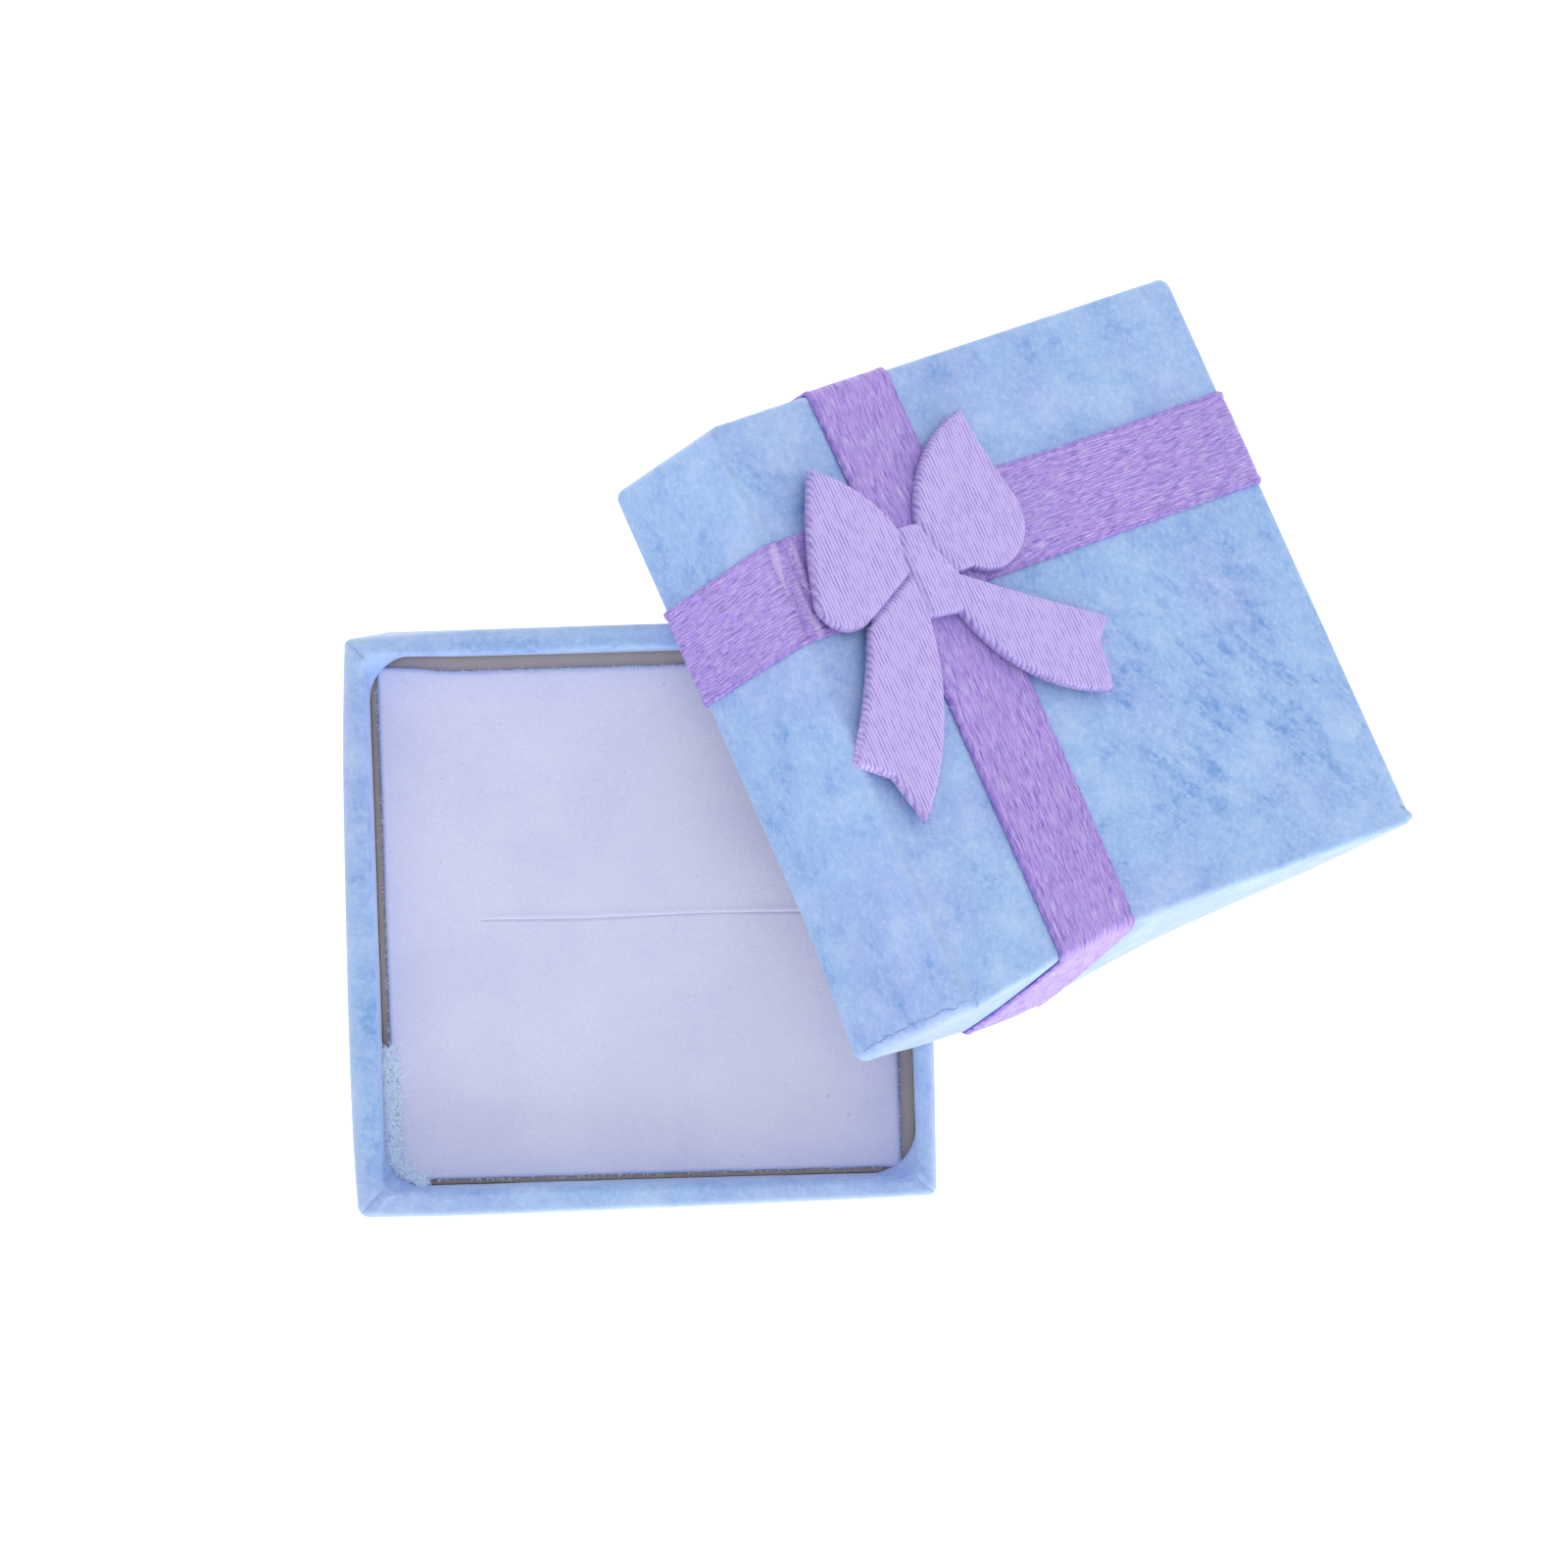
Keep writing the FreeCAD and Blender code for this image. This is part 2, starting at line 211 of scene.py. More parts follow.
class Value:
    """A node socket that can be used in Python sums; each sum adds its Math nodes."""

    def __init__(self, tree: bpy.types.NodeTree, socket: bpy.types.NodeSocket) -> None:
        """Wraps a socket of a node tree."""
        self.tree = tree
        self.socket = socket

    def _math(self, operation: str, *terms: object) -> "Value":
        """Math node of the given operation on the given terms."""
        return Nodes(self.tree).add("ShaderNodeMath", {"operation": operation}, dict(enumerate(terms)))

    def __add__(self, other: object) -> "Value":
        """self + other."""
        return self._math("ADD", self, other)

    def __sub__(self, other: object) -> "Value":
        """self - other."""
        return self._math("SUBTRACT", self, other)

    def __rsub__(self, other: object) -> "Value":
        """other - self."""
        return self._math("SUBTRACT", other, self)

    def __mul__(self, other: object) -> "Value":
        """self * other."""
        return self._math("MULTIPLY", self, other)

    def __pow__(self, other: object) -> "Value":
        """self to the power of other."""
        return self._math("POWER", self, other)

    __radd__ = __add__
    __rmul__ = __mul__

    def sine(self) -> "Value":
        """Sine of self."""
        return self._math("SINE", self)

    def step(self, low: float, high: float) -> "Value":
        """Smooth step of self from 0 at low to 1 at high."""
        settings = {"interpolation_type": "SMOOTHSTEP"}
        inputs = {"Value": self, "From Min": low, "From Max": high}
        return Nodes(self.tree).add("ShaderNodeMapRange", settings, inputs)


class Nodes:
    """Adds nodes to one tree."""

    def __init__(self, tree: bpy.types.NodeTree) -> None:
        """Takes the tree to add to."""
        self.tree = tree
        self.owner = None

    def add(self, kind: str, settings: dict, inputs: dict, output: object = 0) -> Value:
        """Adds a node.

        Args:
            kind: node type.
            settings: node properties, set first.
            inputs: value or link of each socket, by name or number.
            output: the output socket wanted, by name or number.

        Returns:
            The wanted output.
        """
        node = self.tree.nodes.new(kind)
        for name, value in settings.items():
            setattr(node, name, value)
        for key, value in inputs.items():
            if isinstance(value, Value):
                self.tree.links.new(value.socket, node.inputs[key])
            else:
                node.inputs[key].default_value = value
        return Value(self.tree, node.outputs[output])

    def attribute(self, name: str, output: str = "Vector") -> Value:
        """A named attribute of the piece."""
        return self.add("ShaderNodeAttribute", {"attribute_name": name}, {}, output)

    def stretch(self, vector: Value, scale: tuple, turn: float = 0.0) -> Value:
        """A vector turned about Z, then scaled along each axis."""
        turned = self.add("ShaderNodeMapping", {}, {"Vector": vector, "Rotation": (0.0, 0.0, turn)})
        return self.add("ShaderNodeMapping", {}, {"Vector": turned, "Scale": scale})

    def noise(self, vector: Value, scale: float, detail: float = 3.0, rough: float = 0.55) -> Value:
        """Noise between about 0.2 and 0.8."""
        inputs = {"Vector": vector, "Scale": scale, "Detail": detail, "Roughness": rough}
        return self.add("ShaderNodeTexNoise", {}, inputs, "Fac")

    def part(self, vector: Value, axis: str) -> Value:
        """One axis of a vector."""
        return self.add("ShaderNodeSeparateXYZ", {}, {"Vector": vector}, axis)

    def blend(self, share: object, first: object, second: object) -> Value:
        """Colour that goes from first to second as share goes from 0 to 1."""
        node = self.tree.nodes.new("ShaderNodeMix")
        node.data_type = "RGBA"
        pairs = ((0, share), (6, first), (7, second))
        for index, value in pairs:
            if isinstance(value, Value):
                self.tree.links.new(value.socket, node.inputs[index])
            elif isinstance(value, tuple):
                node.inputs[index].default_value = (*value, 1.0)
            else:
                node.inputs[index].default_value = value
        return Value(self.tree, node.outputs[2])

    def bump(self, height: Value, strength: float, depth_mm: float) -> Value:
        """Normal bent by a height between 0 and 1 that stands for depth_mm."""
        inputs = {"Strength": strength, "Distance": depth_mm * MM, "Height": height}
        return self.add("ShaderNodeBump", {}, inputs)


def start_material(name: str) -> Nodes:
    """Nodes of a new material, with the material kept as their owner."""
    made = bpy.data.materials.new(f"finish_{name}")
    made.use_nodes = True
    nodes = Nodes(made.node_tree)
    nodes.owner = made
    return nodes


def material(nodes: Nodes, roughness: object, colour: object, normal: object = None,
             **constants: object) -> bpy.types.Material:
    """Joins a finish to its Principled shader.

    Args:
        nodes: the material's nodes, from start_material.
        roughness: number or Value.
        colour: red, green and blue, or Value.
        normal: Value, or None for the plain surface.
        constants: other sockets of the shader, with _ for a space.

    Returns:
        The material.
    """
    shader = nodes.tree.nodes["Principled BSDF"]
    for key, value in {"Base Color": colour, "Roughness": roughness, "Normal": normal}.items():
        if isinstance(value, Value):
            nodes.tree.links.new(value.socket, shader.inputs[key])
        elif isinstance(value, tuple):
            shader.inputs[key].default_value = (*value, 1.0)
        elif value is not None:
            shader.inputs[key].default_value = value
    for key, value in constants.items():
        shader.inputs[key.replace("_", " ")].default_value = value
    return nodes.owner


# ---- finishes -----------------------------------------------------------------------------


@dataclass(frozen=True)
class WrapPaper:
    """Mottled handmade paper: cloudy blue, darker streaks where marked, grain, painted highlight on
    edges, painted shade in creases.
    """

    name: str = "blue_wrap_paper"
    light: tuple = (0.35, 0.525, 0.84)
    lilac: tuple = (0.36, 0.485, 0.83)
    deep: tuple = (0.145, 0.305, 0.69)
    pale: tuple = (0.53, 0.68, 0.93)
    # pale colour of the painted edge highlight, and the stray fibres' own pale colour
    pale_fibre_and_edge_light: tuple = (0.72, 0.82, 0.96)

    def make(self) -> bpy.types.Material:
        """Builds the material from the piece's own millimetre coordinates."""
        n = start_material(self.name)
        at = n.attribute("own_mm")
        cloud = n.noise(at, 0.24, 6.0, 0.70)
        cast = n.noise(n.stretch(at, (1.0, 1.0, 1.0), 1.1), 0.10, 3.0)
        blotch = n.noise(n.stretch(at, (0.8, 1.0, 1.0), 0.5), 0.62, 7.0, 0.74)
        grain = n.noise(at, 2.6, 4.0, 0.72)
        fibre = n.noise(n.stretch(at, (0.45, 1.8, 1.0), 0.4), 2.2, 3.0, 0.65)
        streak = n.noise(n.stretch(at, (0.36, 1.0, 1.0), 0.94), 0.60, 7.0, 0.74)
        marked = streak.step(0.49, 0.62) * n.attribute("streaks", "Fac")
        patch = cloud.step(0.47, 0.66) * blotch.step(0.42, 0.62)
        dark = patch * 0.62 + marked * 0.62
        dark = dark + grain.step(0.42, 0.66) * 0.20 + fibre.step(0.46, 0.66) * 0.10
        tone = n.blend(cast.step(0.42, 0.66), self.light, self.lilac)
        tone = n.blend(dark, tone, self.deep)
        bright = (1.0 - cloud.step(0.30, 0.52)) * 0.45 + (1.0 - grain.step(0.30, 0.50)) * 0.38
        tone = n.blend(bright, tone, self.pale)
        # painted highlight: marked edges and corners are lightened towards the pale colour, broken up
        # by the grain
        edge_lit = n.attribute("pale_fibre_and_edge_light", "Fac") * (0.35 + grain * 0.9)
        tone = n.blend(edge_lit, tone, self.pale_fibre_and_edge_light)
        fold = self.crease_shade(n, at)
        # painted shade: the colour is darkened towards deep blue along the creases
        tone = n.blend(fold * 0.6, tone, (0.11, 0.24, 0.60))
        normal = n.bump(grain * 0.6 + fibre * 0.6 - fold * 1.0, 0.55, 0.06)
        return material(n, 0.74, tone, normal, Sheen_Weight=0.55, Sheen_Roughness=0.25)

    def crease_shade(self, n: Nodes, at: Value) -> Value:
        """Painted shade along fine creases: two beside the lid's south-west corner, and the tray's
        mitres.

        Each is 1 on its own line, which wanders with a slow noise, and 0 a little way off.
        The mitres are where x squared equals y squared.

        Args:
            n: the material's nodes.
            at: the piece's own millimetre coordinates.
        """
        x, y, z = (n.part(at, axis) for axis in "XYZ")
        wander = n.noise(at, 0.55, 4.0, 0.7) - 0.5
        west_line = y + 20.15 + wander * 1.5
        south_line = x + 20.45 - (13.0 - z) * 0.16 + wander * 1.2
        first = 1.0 - (west_line * west_line).step(0.0, 0.006)
        second = 1.0 - (south_line * south_line).step(0.0, 0.005)
        first = first * (1.0 - x.step(-20.75, -20.6)) * z.step(0.8, 1.6)
        second = second * (1.0 - y.step(-20.7, -20.5)) * z.step(4.6, 6.0)
        of_lid = first * (1.0 - z.step(12.9, 13.1)) + second
        of_lid = of_lid * (1.0 - x.step(-19.2, -19.0)) * (1.0 - z.step(13.3, 13.4))
        diagonal = (x * x - y * y) * 0.026 + wander * 0.5
        mitre = 1.0 - (diagonal * diagonal).step(0.0, 0.004)
        mitre = mitre * z.step(25.4, 25.7) * (x * x).step(320.0, 332.0)
        return (of_lid + mitre * 0.55).step(0.0, 1.0)


@dataclass(frozen=True)
class PurpleRibbon:
    """Woven satin ribbon: long lengthwise threads, painted shade in their grooves, small dark ticks,
    painted highlights.
    """

    name: str = "purple_ribbon"
    thread_pitch: float = 0.22
    bright: tuple = (0.52, 0.36, 0.93)
    # the weave's dark colour, also used as painted shade in the thread grooves and pleat hollows
    groove: tuple = (0.24, 0.13, 0.60)
    painted_highlight: tuple = (0.78, 0.64, 0.98)

    def make(self) -> bpy.types.Material:
        """Builds the material from the strap's own lengths: x along, y across, z over its pleats."""
        n = start_material(self.name)
        at = n.attribute("weave_mm")
        wander = n.noise(n.stretch(at, (0.35, 1.6, 1.0)), 1.0, 3.0)
        across = n.part(at, "Y") * (2.0 * np.pi / self.thread_pitch) + wander * 7.0
        threads = across.sine() * 0.5 + 0.5
        slant = n.stretch(at, (1.0, 1.0, 1.0), 0.05)
        floats = n.noise(n.stretch(slant, (0.50, 7.6, 1.0)), 1.0, 3.0, 0.6)
        ticks = n.noise(n.stretch(slant, (1.05, 9.0, 1.0)), 1.0, 2.0).step(0.53, 0.62)
        # painted highlight: bright glints in dashes along the threads
        painted_glint = n.noise(n.stretch(slant, (0.55, 7.8, 1.0)), 1.3, 2.0).step(0.50, 0.60)
        # painted shade in the grooves between threads; the ticks and floats are the weave's own dark
        # marks
        dark = (1.0 - threads) ** 2.0 * 0.24 + ticks * 0.52 + floats.step(0.45, 0.60) * 0.36
        tone = n.blend(dark, self.bright, self.groove)
        tone = n.blend(painted_glint * 0.45, tone, self.painted_highlight)
        # painted highlight on each pleat's crest, painted shade on its hollow side
        pleat = n.part(at, "Z")
        tone = n.blend(pleat.step(0.1, 0.9) * (0.30 + floats * 0.5), tone, self.painted_highlight)
        tone = n.blend((0.0 - pleat).step(0.1, 0.8) * 0.35, tone, self.groove)
        y = n.part(at, "Y")
        twist = (n.part(at, "X") * 6.6 + y * 9.0).sine() * 0.5 + 0.5
        tone = n.blend((y * y).step(9.6, 11.6) * (0.30 + twist * 0.35), tone, self.groove)
        normal = n.bump(threads * 0.7 + painted_glint * 0.5 - ticks * 0.8 - floats, 0.6, 0.08)
        return material(n, 0.42, tone, normal, Sheen_Weight=0.15)


@dataclass(frozen=True)
class LilacSatin:
    """Satin bow cloth: fine ribs along the lid's Y axis, painted shade in their grooves, broken into
    stitches.
    """

    name: str = "lilac_satin"
    rib_pitch: float = 0.27
    bright: tuple = (0.61, 0.50, 0.93)
    groove: tuple = (0.27, 0.19, 0.60)

    def make(self) -> bpy.types.Material:
        """Builds the material from the lid's own millimetre coordinates."""
        n = start_material(self.name)
        at = n.attribute("own_mm")
        wander = n.noise(at, 0.9, 2.0)
        fuzz = n.noise(n.stretch(at, (5.0, 2.0, 1.0)), 1.0, 2.0)
        phase = n.part(at, "X") * (2.0 * np.pi / self.rib_pitch) + wander * 1.6
        ribs = phase.sine() * 0.5 + 0.5
        stitch = n.noise(n.stretch(at, (3.4, 1.15, 1.0)), 1.0, 1.0).step(0.40, 0.62)
        # painted shade in the grooves between the ribs, broken by the stitches
        dark = (1.0 - ribs) ** 1.5 * (0.48 + stitch * 0.44) + fuzz.step(0.45, 0.70) * 0.12
        tone = n.blend(dark, self.bright, self.groove)
        normal = n.bump(ribs - stitch * 0.5, 0.4, 0.04)
        return material(n, 0.5, tone, normal, Sheen_Weight=0.2)


@dataclass(frozen=True)
class SoftFinish:
    """Flock, foam, padding, card or tape: one cast with clouds, grain and rare specks.

    The glow is painted light: the strength of a faint blue light, given off evenly by a surface that is
    no lamp.
    """

    name: str
    base: tuple
    shade: tuple
    grain_per_mm: float
    bump_mm: float
    speck: tuple = (0.40, 0.36, 0.42)
    roughness: float = 0.95
    sheen: float = 0.0
    pores: bool = False
    glow: float = 0.0

    def make(self) -> bpy.types.Material:
        """Builds the material from Object coordinates, in metres."""
        n = start_material(self.name)
        place = n.add("ShaderNodeTexCoord", {}, {}, "Object")
        cloud = n.noise(place, 140.0, 3.0)
        grain = n.noise(place, self.grain_per_mm / MM, 3.0, 0.6)
        specks = n.noise(place, 2300.0, 1.0).step(0.765, 0.80)
        share = cloud.step(0.35, 0.7) * 0.45 + grain.step(0.35, 0.75) * 0.5
        tone = n.blend(share, self.base, self.shade)
        tone = n.blend(specks * 0.4, tone, self.speck)
        height = grain
        if self.pores:
            inputs = {"Vector": place, "Scale": self.grain_per_mm / MM * 0.6}
            cells = n.add("ShaderNodeTexVoronoi", {}, inputs, "Distance")
            height = height * 0.5 + cells
        normal = n.bump(height, 0.5, self.bump_mm)
        # painted light: emission of the glow, set only for the torn flock
        glow = {"Emission_Strength": self.glow, "Emission_Color": (0.42, 0.60, 1.0, 1.0)}
        return material(n, self.roughness, tone, normal, Sheen_Weight=self.sheen, **glow)


@dataclass(frozen=True)
class ClearGlue:
    """Dot of dried hot glue, glossy with slow waves."""

    name: str = "clear_glue"

    def make(self) -> bpy.types.Material:
        """Builds the material from Object coordinates, in metres."""
        n = start_material(self.name)
        place = n.add("ShaderNodeTexCoord", {}, {}, "Object")
        waves = n.noise(place, 900.0, 2.0)
        tone = n.blend(waves, (0.80, 0.77, 0.66), (0.92, 0.90, 0.84))
        return material(n, 0.18, tone, n.bump(waves, 0.3, 0.05))


class Slot(Enum):
    """The record's material slots."""

    BOARD = "greyboard"
    TAPE = "corner_tape"
    PAPER = "blue_wrap_paper"
    FOAM = "insert_foam"
    CARD = "grey_card"
    FLOCK = "flocked_face"
    RIBBON = "purple_ribbon"
    GLUE = "clear_glue"
    BACKING = "bow_backing_cloth"
    PADDING = "bow_padding"
    SATIN = "lilac_satin"


FINISHES = {
    Slot.BOARD: SoftFinish("greyboard", (0.24, 0.225, 0.21), (0.17, 0.16, 0.155), 4.0, 0.06),
    Slot.TAPE: SoftFinish("corner_tape", (0.50, 0.39, 0.25), (0.40, 0.30, 0.19), 5.0, 0.03),
    Slot.PAPER: WrapPaper(),
    Slot.FOAM: SoftFinish("insert_foam", (0.80, 0.80, 0.86), (0.66, 0.66, 0.75), 3.0, 0.2, pores=True),
    Slot.CARD: SoftFinish("grey_card", (0.545, 0.47, 0.45), (0.465, 0.40, 0.385), 6.0, 0.02),
    Slot.FLOCK: SoftFinish(
        "flocked_face", (0.73, 0.735, 0.94), (0.62, 0.635, 0.87), 5.0, 0.05, sheen=0.1
    ),
    Slot.RIBBON: PurpleRibbon(),
    Slot.GLUE: ClearGlue(),
    Slot.BACKING: SoftFinish("bow_backing_cloth", (0.42, 0.32, 0.70), (0.34, 0.25, 0.60), 4.0, 0.05),
    Slot.PADDING: SoftFinish("bow_padding", (0.80, 0.79, 0.86), (0.68, 0.66, 0.78), 4.0, 0.1),
    Slot.SATIN: LilacSatin(),
}
# torn flock: its glow is painted light, lifting it out of the shade of the gap
GLOWING_TORN_FLOCK = SoftFinish(
    "glowing_torn_flock", (0.90, 0.95, 1.0), (0.76, 0.86, 1.0), 3.0, 0.05, sheen=0.5, glow=0.15
)
# painted shade: the bed under the torn flock is a darker blue, standing for the shade between its hairs
SHADED_FLOCK_BED = SoftFinish("shaded_flock_bed", (0.40, 0.52, 0.80), (0.27, 0.38, 0.66), 4.0, 0.08)
MATERIALS: dict = {}


# ---- pieces -------------------------------------------------------------------------------


@dataclass(frozen=True)
class Piece:
    """One new piece: its name, the body it rides on, its slot and the CAD nodes it replaces."""

    name: str
    body: str
    slot: Slot
    stands_for: tuple = ()
    finish: "SoftFinish | None" = None

    def build(self, place: Place, points: Array, faces: list,
              marks: dict | None = None) -> bpy.types.Object:
        """Makes the piece from points in a sub-assembly's own frame.

        Args:
            place: the sub-assembly's frame.
            points: n by 3, millimetres.
            faces: point numbers of each face, outwards.
            marks: attributes by name, n numbers or n by 3.

        Returns:
            The finished object, at the scene's origin.
        """
        mesh = bpy.data.meshes.new(self.name)
        mesh.from_pydata(place(points).tolist(), [], faces)
        for name, values in {"own_mm": points, **(marks or {})}.items():
            kind, field = ("FLOAT", "value") if values.ndim == 1 else ("FLOAT_VECTOR", "vector")
            attribute = mesh.attributes.new(name, kind, "POINT")
            attribute.data.foreach_set(field, values.astype(np.float32).ravel())
        mesh.shade_smooth()
        mesh.update()
        mesh.materials.append(MATERIALS[self.finish or self.slot])
        piece = bpy.data.objects.new(self.name, mesh)
        bpy.context.scene.collection.objects.link(piece)
        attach(piece, self.body)
        if self.stands_for:
            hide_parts(*self.stands_for)
        log.info("%s: %d points, %d faces, rides on %s", self.name, len(points), len(faces), self.body)
        return piece


def thicken(piece: bpy.types.Object, thickness_mm: float) -> None:
    """Gives a surface its thickness, inwards from its outer face."""
    wall = piece.modifiers.new("thickness", "SOLIDIFY")
    wall.thickness = thickness_mm * MM
    wall.offset = -1.0


def fibre_mesh(roots: Array, runs: Array, curls: Array, radius: float,
               steps: int = 6) -> tuple[Array, list]:
    """Fine three-sided tapering threads.

    A thread's middle line is root + t run + t^2 curl for t from 0 to 1.  Its radius
    shrinks to a third at the tip.

    Args:
        roots: m by 3 starting points, millimetres.
        runs: m by 3 directions with length.
        curls: m by 3 sideways bends.
        radius: thread radius at the root, millimetres.
        steps: points along each thread.

    Returns:
        Points and closed faces.
    """
    t = np.linspace(0.0, 1.0, steps)[None, :, None, None]
    line = roots[:, None, None] + t * runs[:, None, None] + t**2 * curls[:, None, None]
    side = np.cross(runs, [0.31, 0.17, 0.94])
    side /= np.linalg.norm(side, axis=1, keepdims=True)
    other = np.cross(runs, side)
    other /= np.linalg.norm(other, axis=1, keepdims=True)
    angle = (np.arange(3) * 2.0 * np.pi / 3.0)[None, None, :, None]
    ring = np.cos(angle) * side[:, None, None] + np.sin(angle) * other[:, None, None]
    points = line + radius * (1.0 - 0.66 * t) * ring
    one = np.array(grid_faces(steps, 3, ring=True))
    count = len(roots)
    offsets = (np.arange(count) * steps * 3)[:, None, None]
    quads = (one[None] + offsets).reshape(-1, 4).tolist()
    ends = np.array([[2, 1, 0], [steps * 3 - 3, steps * 3 - 2, steps * 3 - 1]])
    caps = (ends[None] + offsets).reshape(-1, 3).tolist()
    return points.reshape(-1, 3), quads + caps


@dataclass(frozen=True)
class SquareRings:
    """Rings of a square with rounded corners, sampled alike so that they join point to point.

    Corners are numbered north-east, north-west, south-west, south-east, and side k runs
    from corner k to the next: north, west, south, east.
    """

    half_x: float
    half_y: float
    along_side: int = 72
    round_corner: int = 14

    def samples(self) -> tuple[Array, Array, Array, Array]:
        """Start corner, end corner, share of the way, and facing angle of each ring point."""
        corner = np.repeat(np.arange(4), self.round_corner + self.along_side)
        step = np.tile(np.arange(self.round_corner + self.along_side), 4)
        on_corner = step <= self.round_corner
        share = np.where(on_corner, 0.0, (step - self.round_corner) / self.along_side)
        angle = (corner + np.minimum(step / self.round_corner, 1.0)) * np.pi / 2.0
        return corner, (corner + 1) % 4, share, angle

    def surface(self, inset: Array, height: Array, radius: Array, push: Array) -> Array:
        """Points of every ring.

        A point is the mix of its two corner circles' points at the facing angle, moved
        outwards by push.

        Args:
            inset: distance of each row's ring inside the outer square.
            height: height of each row.
            radius: rows by 4 corner radii.
            push: rows by columns, outwards.

        Returns:
            Rows by columns by 3.
        """
        start, end, share, angle = self.samples()
        sign_x = np.array([1.0, -1.0, -1.0, 1.0])
        sign_y = np.array([1.0, 1.0, -1.0, -1.0])
        reach_x = (self.half_x - inset)[:, None]
        reach_y = (self.half_y - inset)[:, None]
        small = np.minimum(radius, 0.8 * np.minimum(reach_x, reach_y))

        def circle(corner: Array) -> tuple[Array, Array]:
            """Point of a corner's circle at each facing angle."""
            r = small[:, corner]
            x = sign_x[corner] * (reach_x - r) + r * np.cos(angle)
            y = sign_y[corner] * (reach_y - r) + r * np.sin(angle)
            return x, y

        (x0, y0), (x1, y1) = circle(start), circle(end)
        x = (1.0 - share) * x0 + share * x1 + push * np.cos(angle)
        y = (1.0 - share) * y0 + share * y1 + push * np.sin(angle)
        z = np.broadcast_to(height[:, None], x.shape)
        return np.stack([x, y, z], -1)


@dataclass(frozen=True)
class PaperWrap:
    """Paper over a board tray, mouth up: underside, walls, rounded rim and turn-in."""

    piece: Piece
    width: float
    length: float
    height: float
    turn_in: float
    corner_radius: tuple  # north-east, north-west, south-west, south-east, outside
    web_radius: tuple  # the same corners, inside at the turn-in's lower edge
    bulge: tuple  # north, west, south, east, outwards at mid rim
    lean_in: tuple  # the same sides, how far the turn-in stands off its wall
    flare: tuple = (0.0, 0.0, 0.0, 0.0)  # the same corners, outwards at the rim
    ear: tuple = (0.0, 0.0, 0.0, 0.0)  # the same corners, a dog-ear at the closed end
    # strength of the painted highlight along the edges and corners
    edge_light_share: float = 0.32
    mouth_up: bool = True
    streak_centre: tuple = (99.0, 99.0)
    wall: float = WALL
    skin: float = PAPER
    edge: float = 0.4

    def profile(self) -> tuple[Array, Array, Array]:
        """Inset, height and depth below the rim, inside, of each row.

        Straight runs and quarter circles: underside, lower edge, outer wall, outer and
        inner edge of the rim, and down the inside.
        """
        e = self.edge
        top = self.height
        half = min(self.width, self.length) / 2
        turn = np.linspace(0.0, np.pi / 2, 9)[1:]
        inset = np.concatenate([
            np.linspace(half * 0.985, e, 34),
            e - e * np.sin(turn),
            np.zeros(26),
            e - e * np.cos(turn),
            np.linspace(e, self.wall - e, 5)[1:],
            self.wall - e + e * np.sin(turn),
            np.full(18, self.wall),
        ])
        height = np.concatenate([
            np.zeros(34),
            e - e * np.cos(turn),
            np.linspace(e, top - e, 27)[1:],
            top - e + e * np.sin(turn),
            np.full(4, top),
            top - e + e * np.cos(turn),
            np.linspace(top - e, top - self.turn_in, 19)[1:],
        ])
        inside = np.arange(len(inset)) >= len(inset) - 18 - 8
        return inset, height, np.where(inside, top - height, 0.0)

    def make(self, place: Place) -> bpy.types.Object:
        """Builds the wrap.

        Walls bow outwards towards the rim as 1 - |2 share - 1|^3, the turn-in stands off
        its wall and bridges the inside corners, and a folded overlap runs across the rim
        at each corner.
        """
        rings = SquareRings(self.width / 2, self.length / 2)
        start, _, share, angle = rings.samples()
        inset, height, depth = self.profile()
        rise = np.clip(height / self.height, 0.0, 1.0)[:, None]
        is_inside = smooth(0.0, 0.3, depth)[:, None]
        is_rim = smooth(0.02, self.wall * 0.4, inset)[:, None] * (rise > 0.5) * (1.0 - is_inside)

        outer = np.array(self.corner_radius)[None]
        rim = outer + (1.0 - outer) * np.clip(inset / self.wall, 0.0, 1.0)[:, None] * (rise > 0.5)
        web = smooth(0.05, min(2.2, self.turn_in * 0.7), depth)[:, None]
        radius = rim + (np.array(self.web_radius)[None] - rim) * web

        bow = 1.0 - np.abs(2.0 * share - 1.0) ** 3
        bow = np.where(share > 0.0, bow, 0.0)
        corners = np.array(self.flare)
        spread = corners[start] * (1.0 - share) ** 1.6 + corners[(start + 1) % 4] * share**1.6
        is_outer = 1.0 - smooth(0.25, 0.95, inset)[:, None]
        outward = (np.array(self.bulge)[start] * bow + spread) * rise**2 * is_outer
        stands_off = np.array(self.lean_in)[start] * np.sqrt(bow)
        slump = stands_off * smooth(0.15, self.turn_in * 0.8, depth)[:, None]
        around = angle / (2.0 * np.pi) * 4.0 * self.width + share * self.width
        wave = ripple(around[None], height[:, None] * 2.0, 9.0, 3)
        push = outward - slump + 0.04 * wave * (0.3 + is_rim) - 0.03 * is_inside * (1.0 + wave)
        push = push * np.where(height < self.edge, 0.0, 1.0)[:, None]
        fold = (angle % (np.pi / 2)) / (np.pi / 2) - 0.5
        fold = np.where(share > 0.0, 0.5, fold)
        closed_end = smooth(2.4, 0.2, height)[:, None] * smooth(1.6, 0.0, inset)[:, None]
        closed_end = closed_end * (1.0 - is_inside)
        push = push + np.array(self.ear)[start] * bell(fold, 0.30, 0.20) * closed_end * (share <= 0.0)

        points = rings.surface(inset, height, radius, push)
        crease = -0.10 * bell(fold, 0.0, 0.12) + 0.08 * smooth(-0.08, 0.08, fold) * (np.abs(fold) < 0.5)
        lip = 0.05 * ripple(points[..., 0], points[..., 1], 5.0, 8)
        points[..., 2] += (crease + lip * 0.6) * is_rim
        hem = 0.12 * ripple(around[None], np.zeros((1, 1)), 4.0, 21)
        points[..., 2] += hem * smooth(0.6, 1.0, depth / self.turn_in)[:, None]

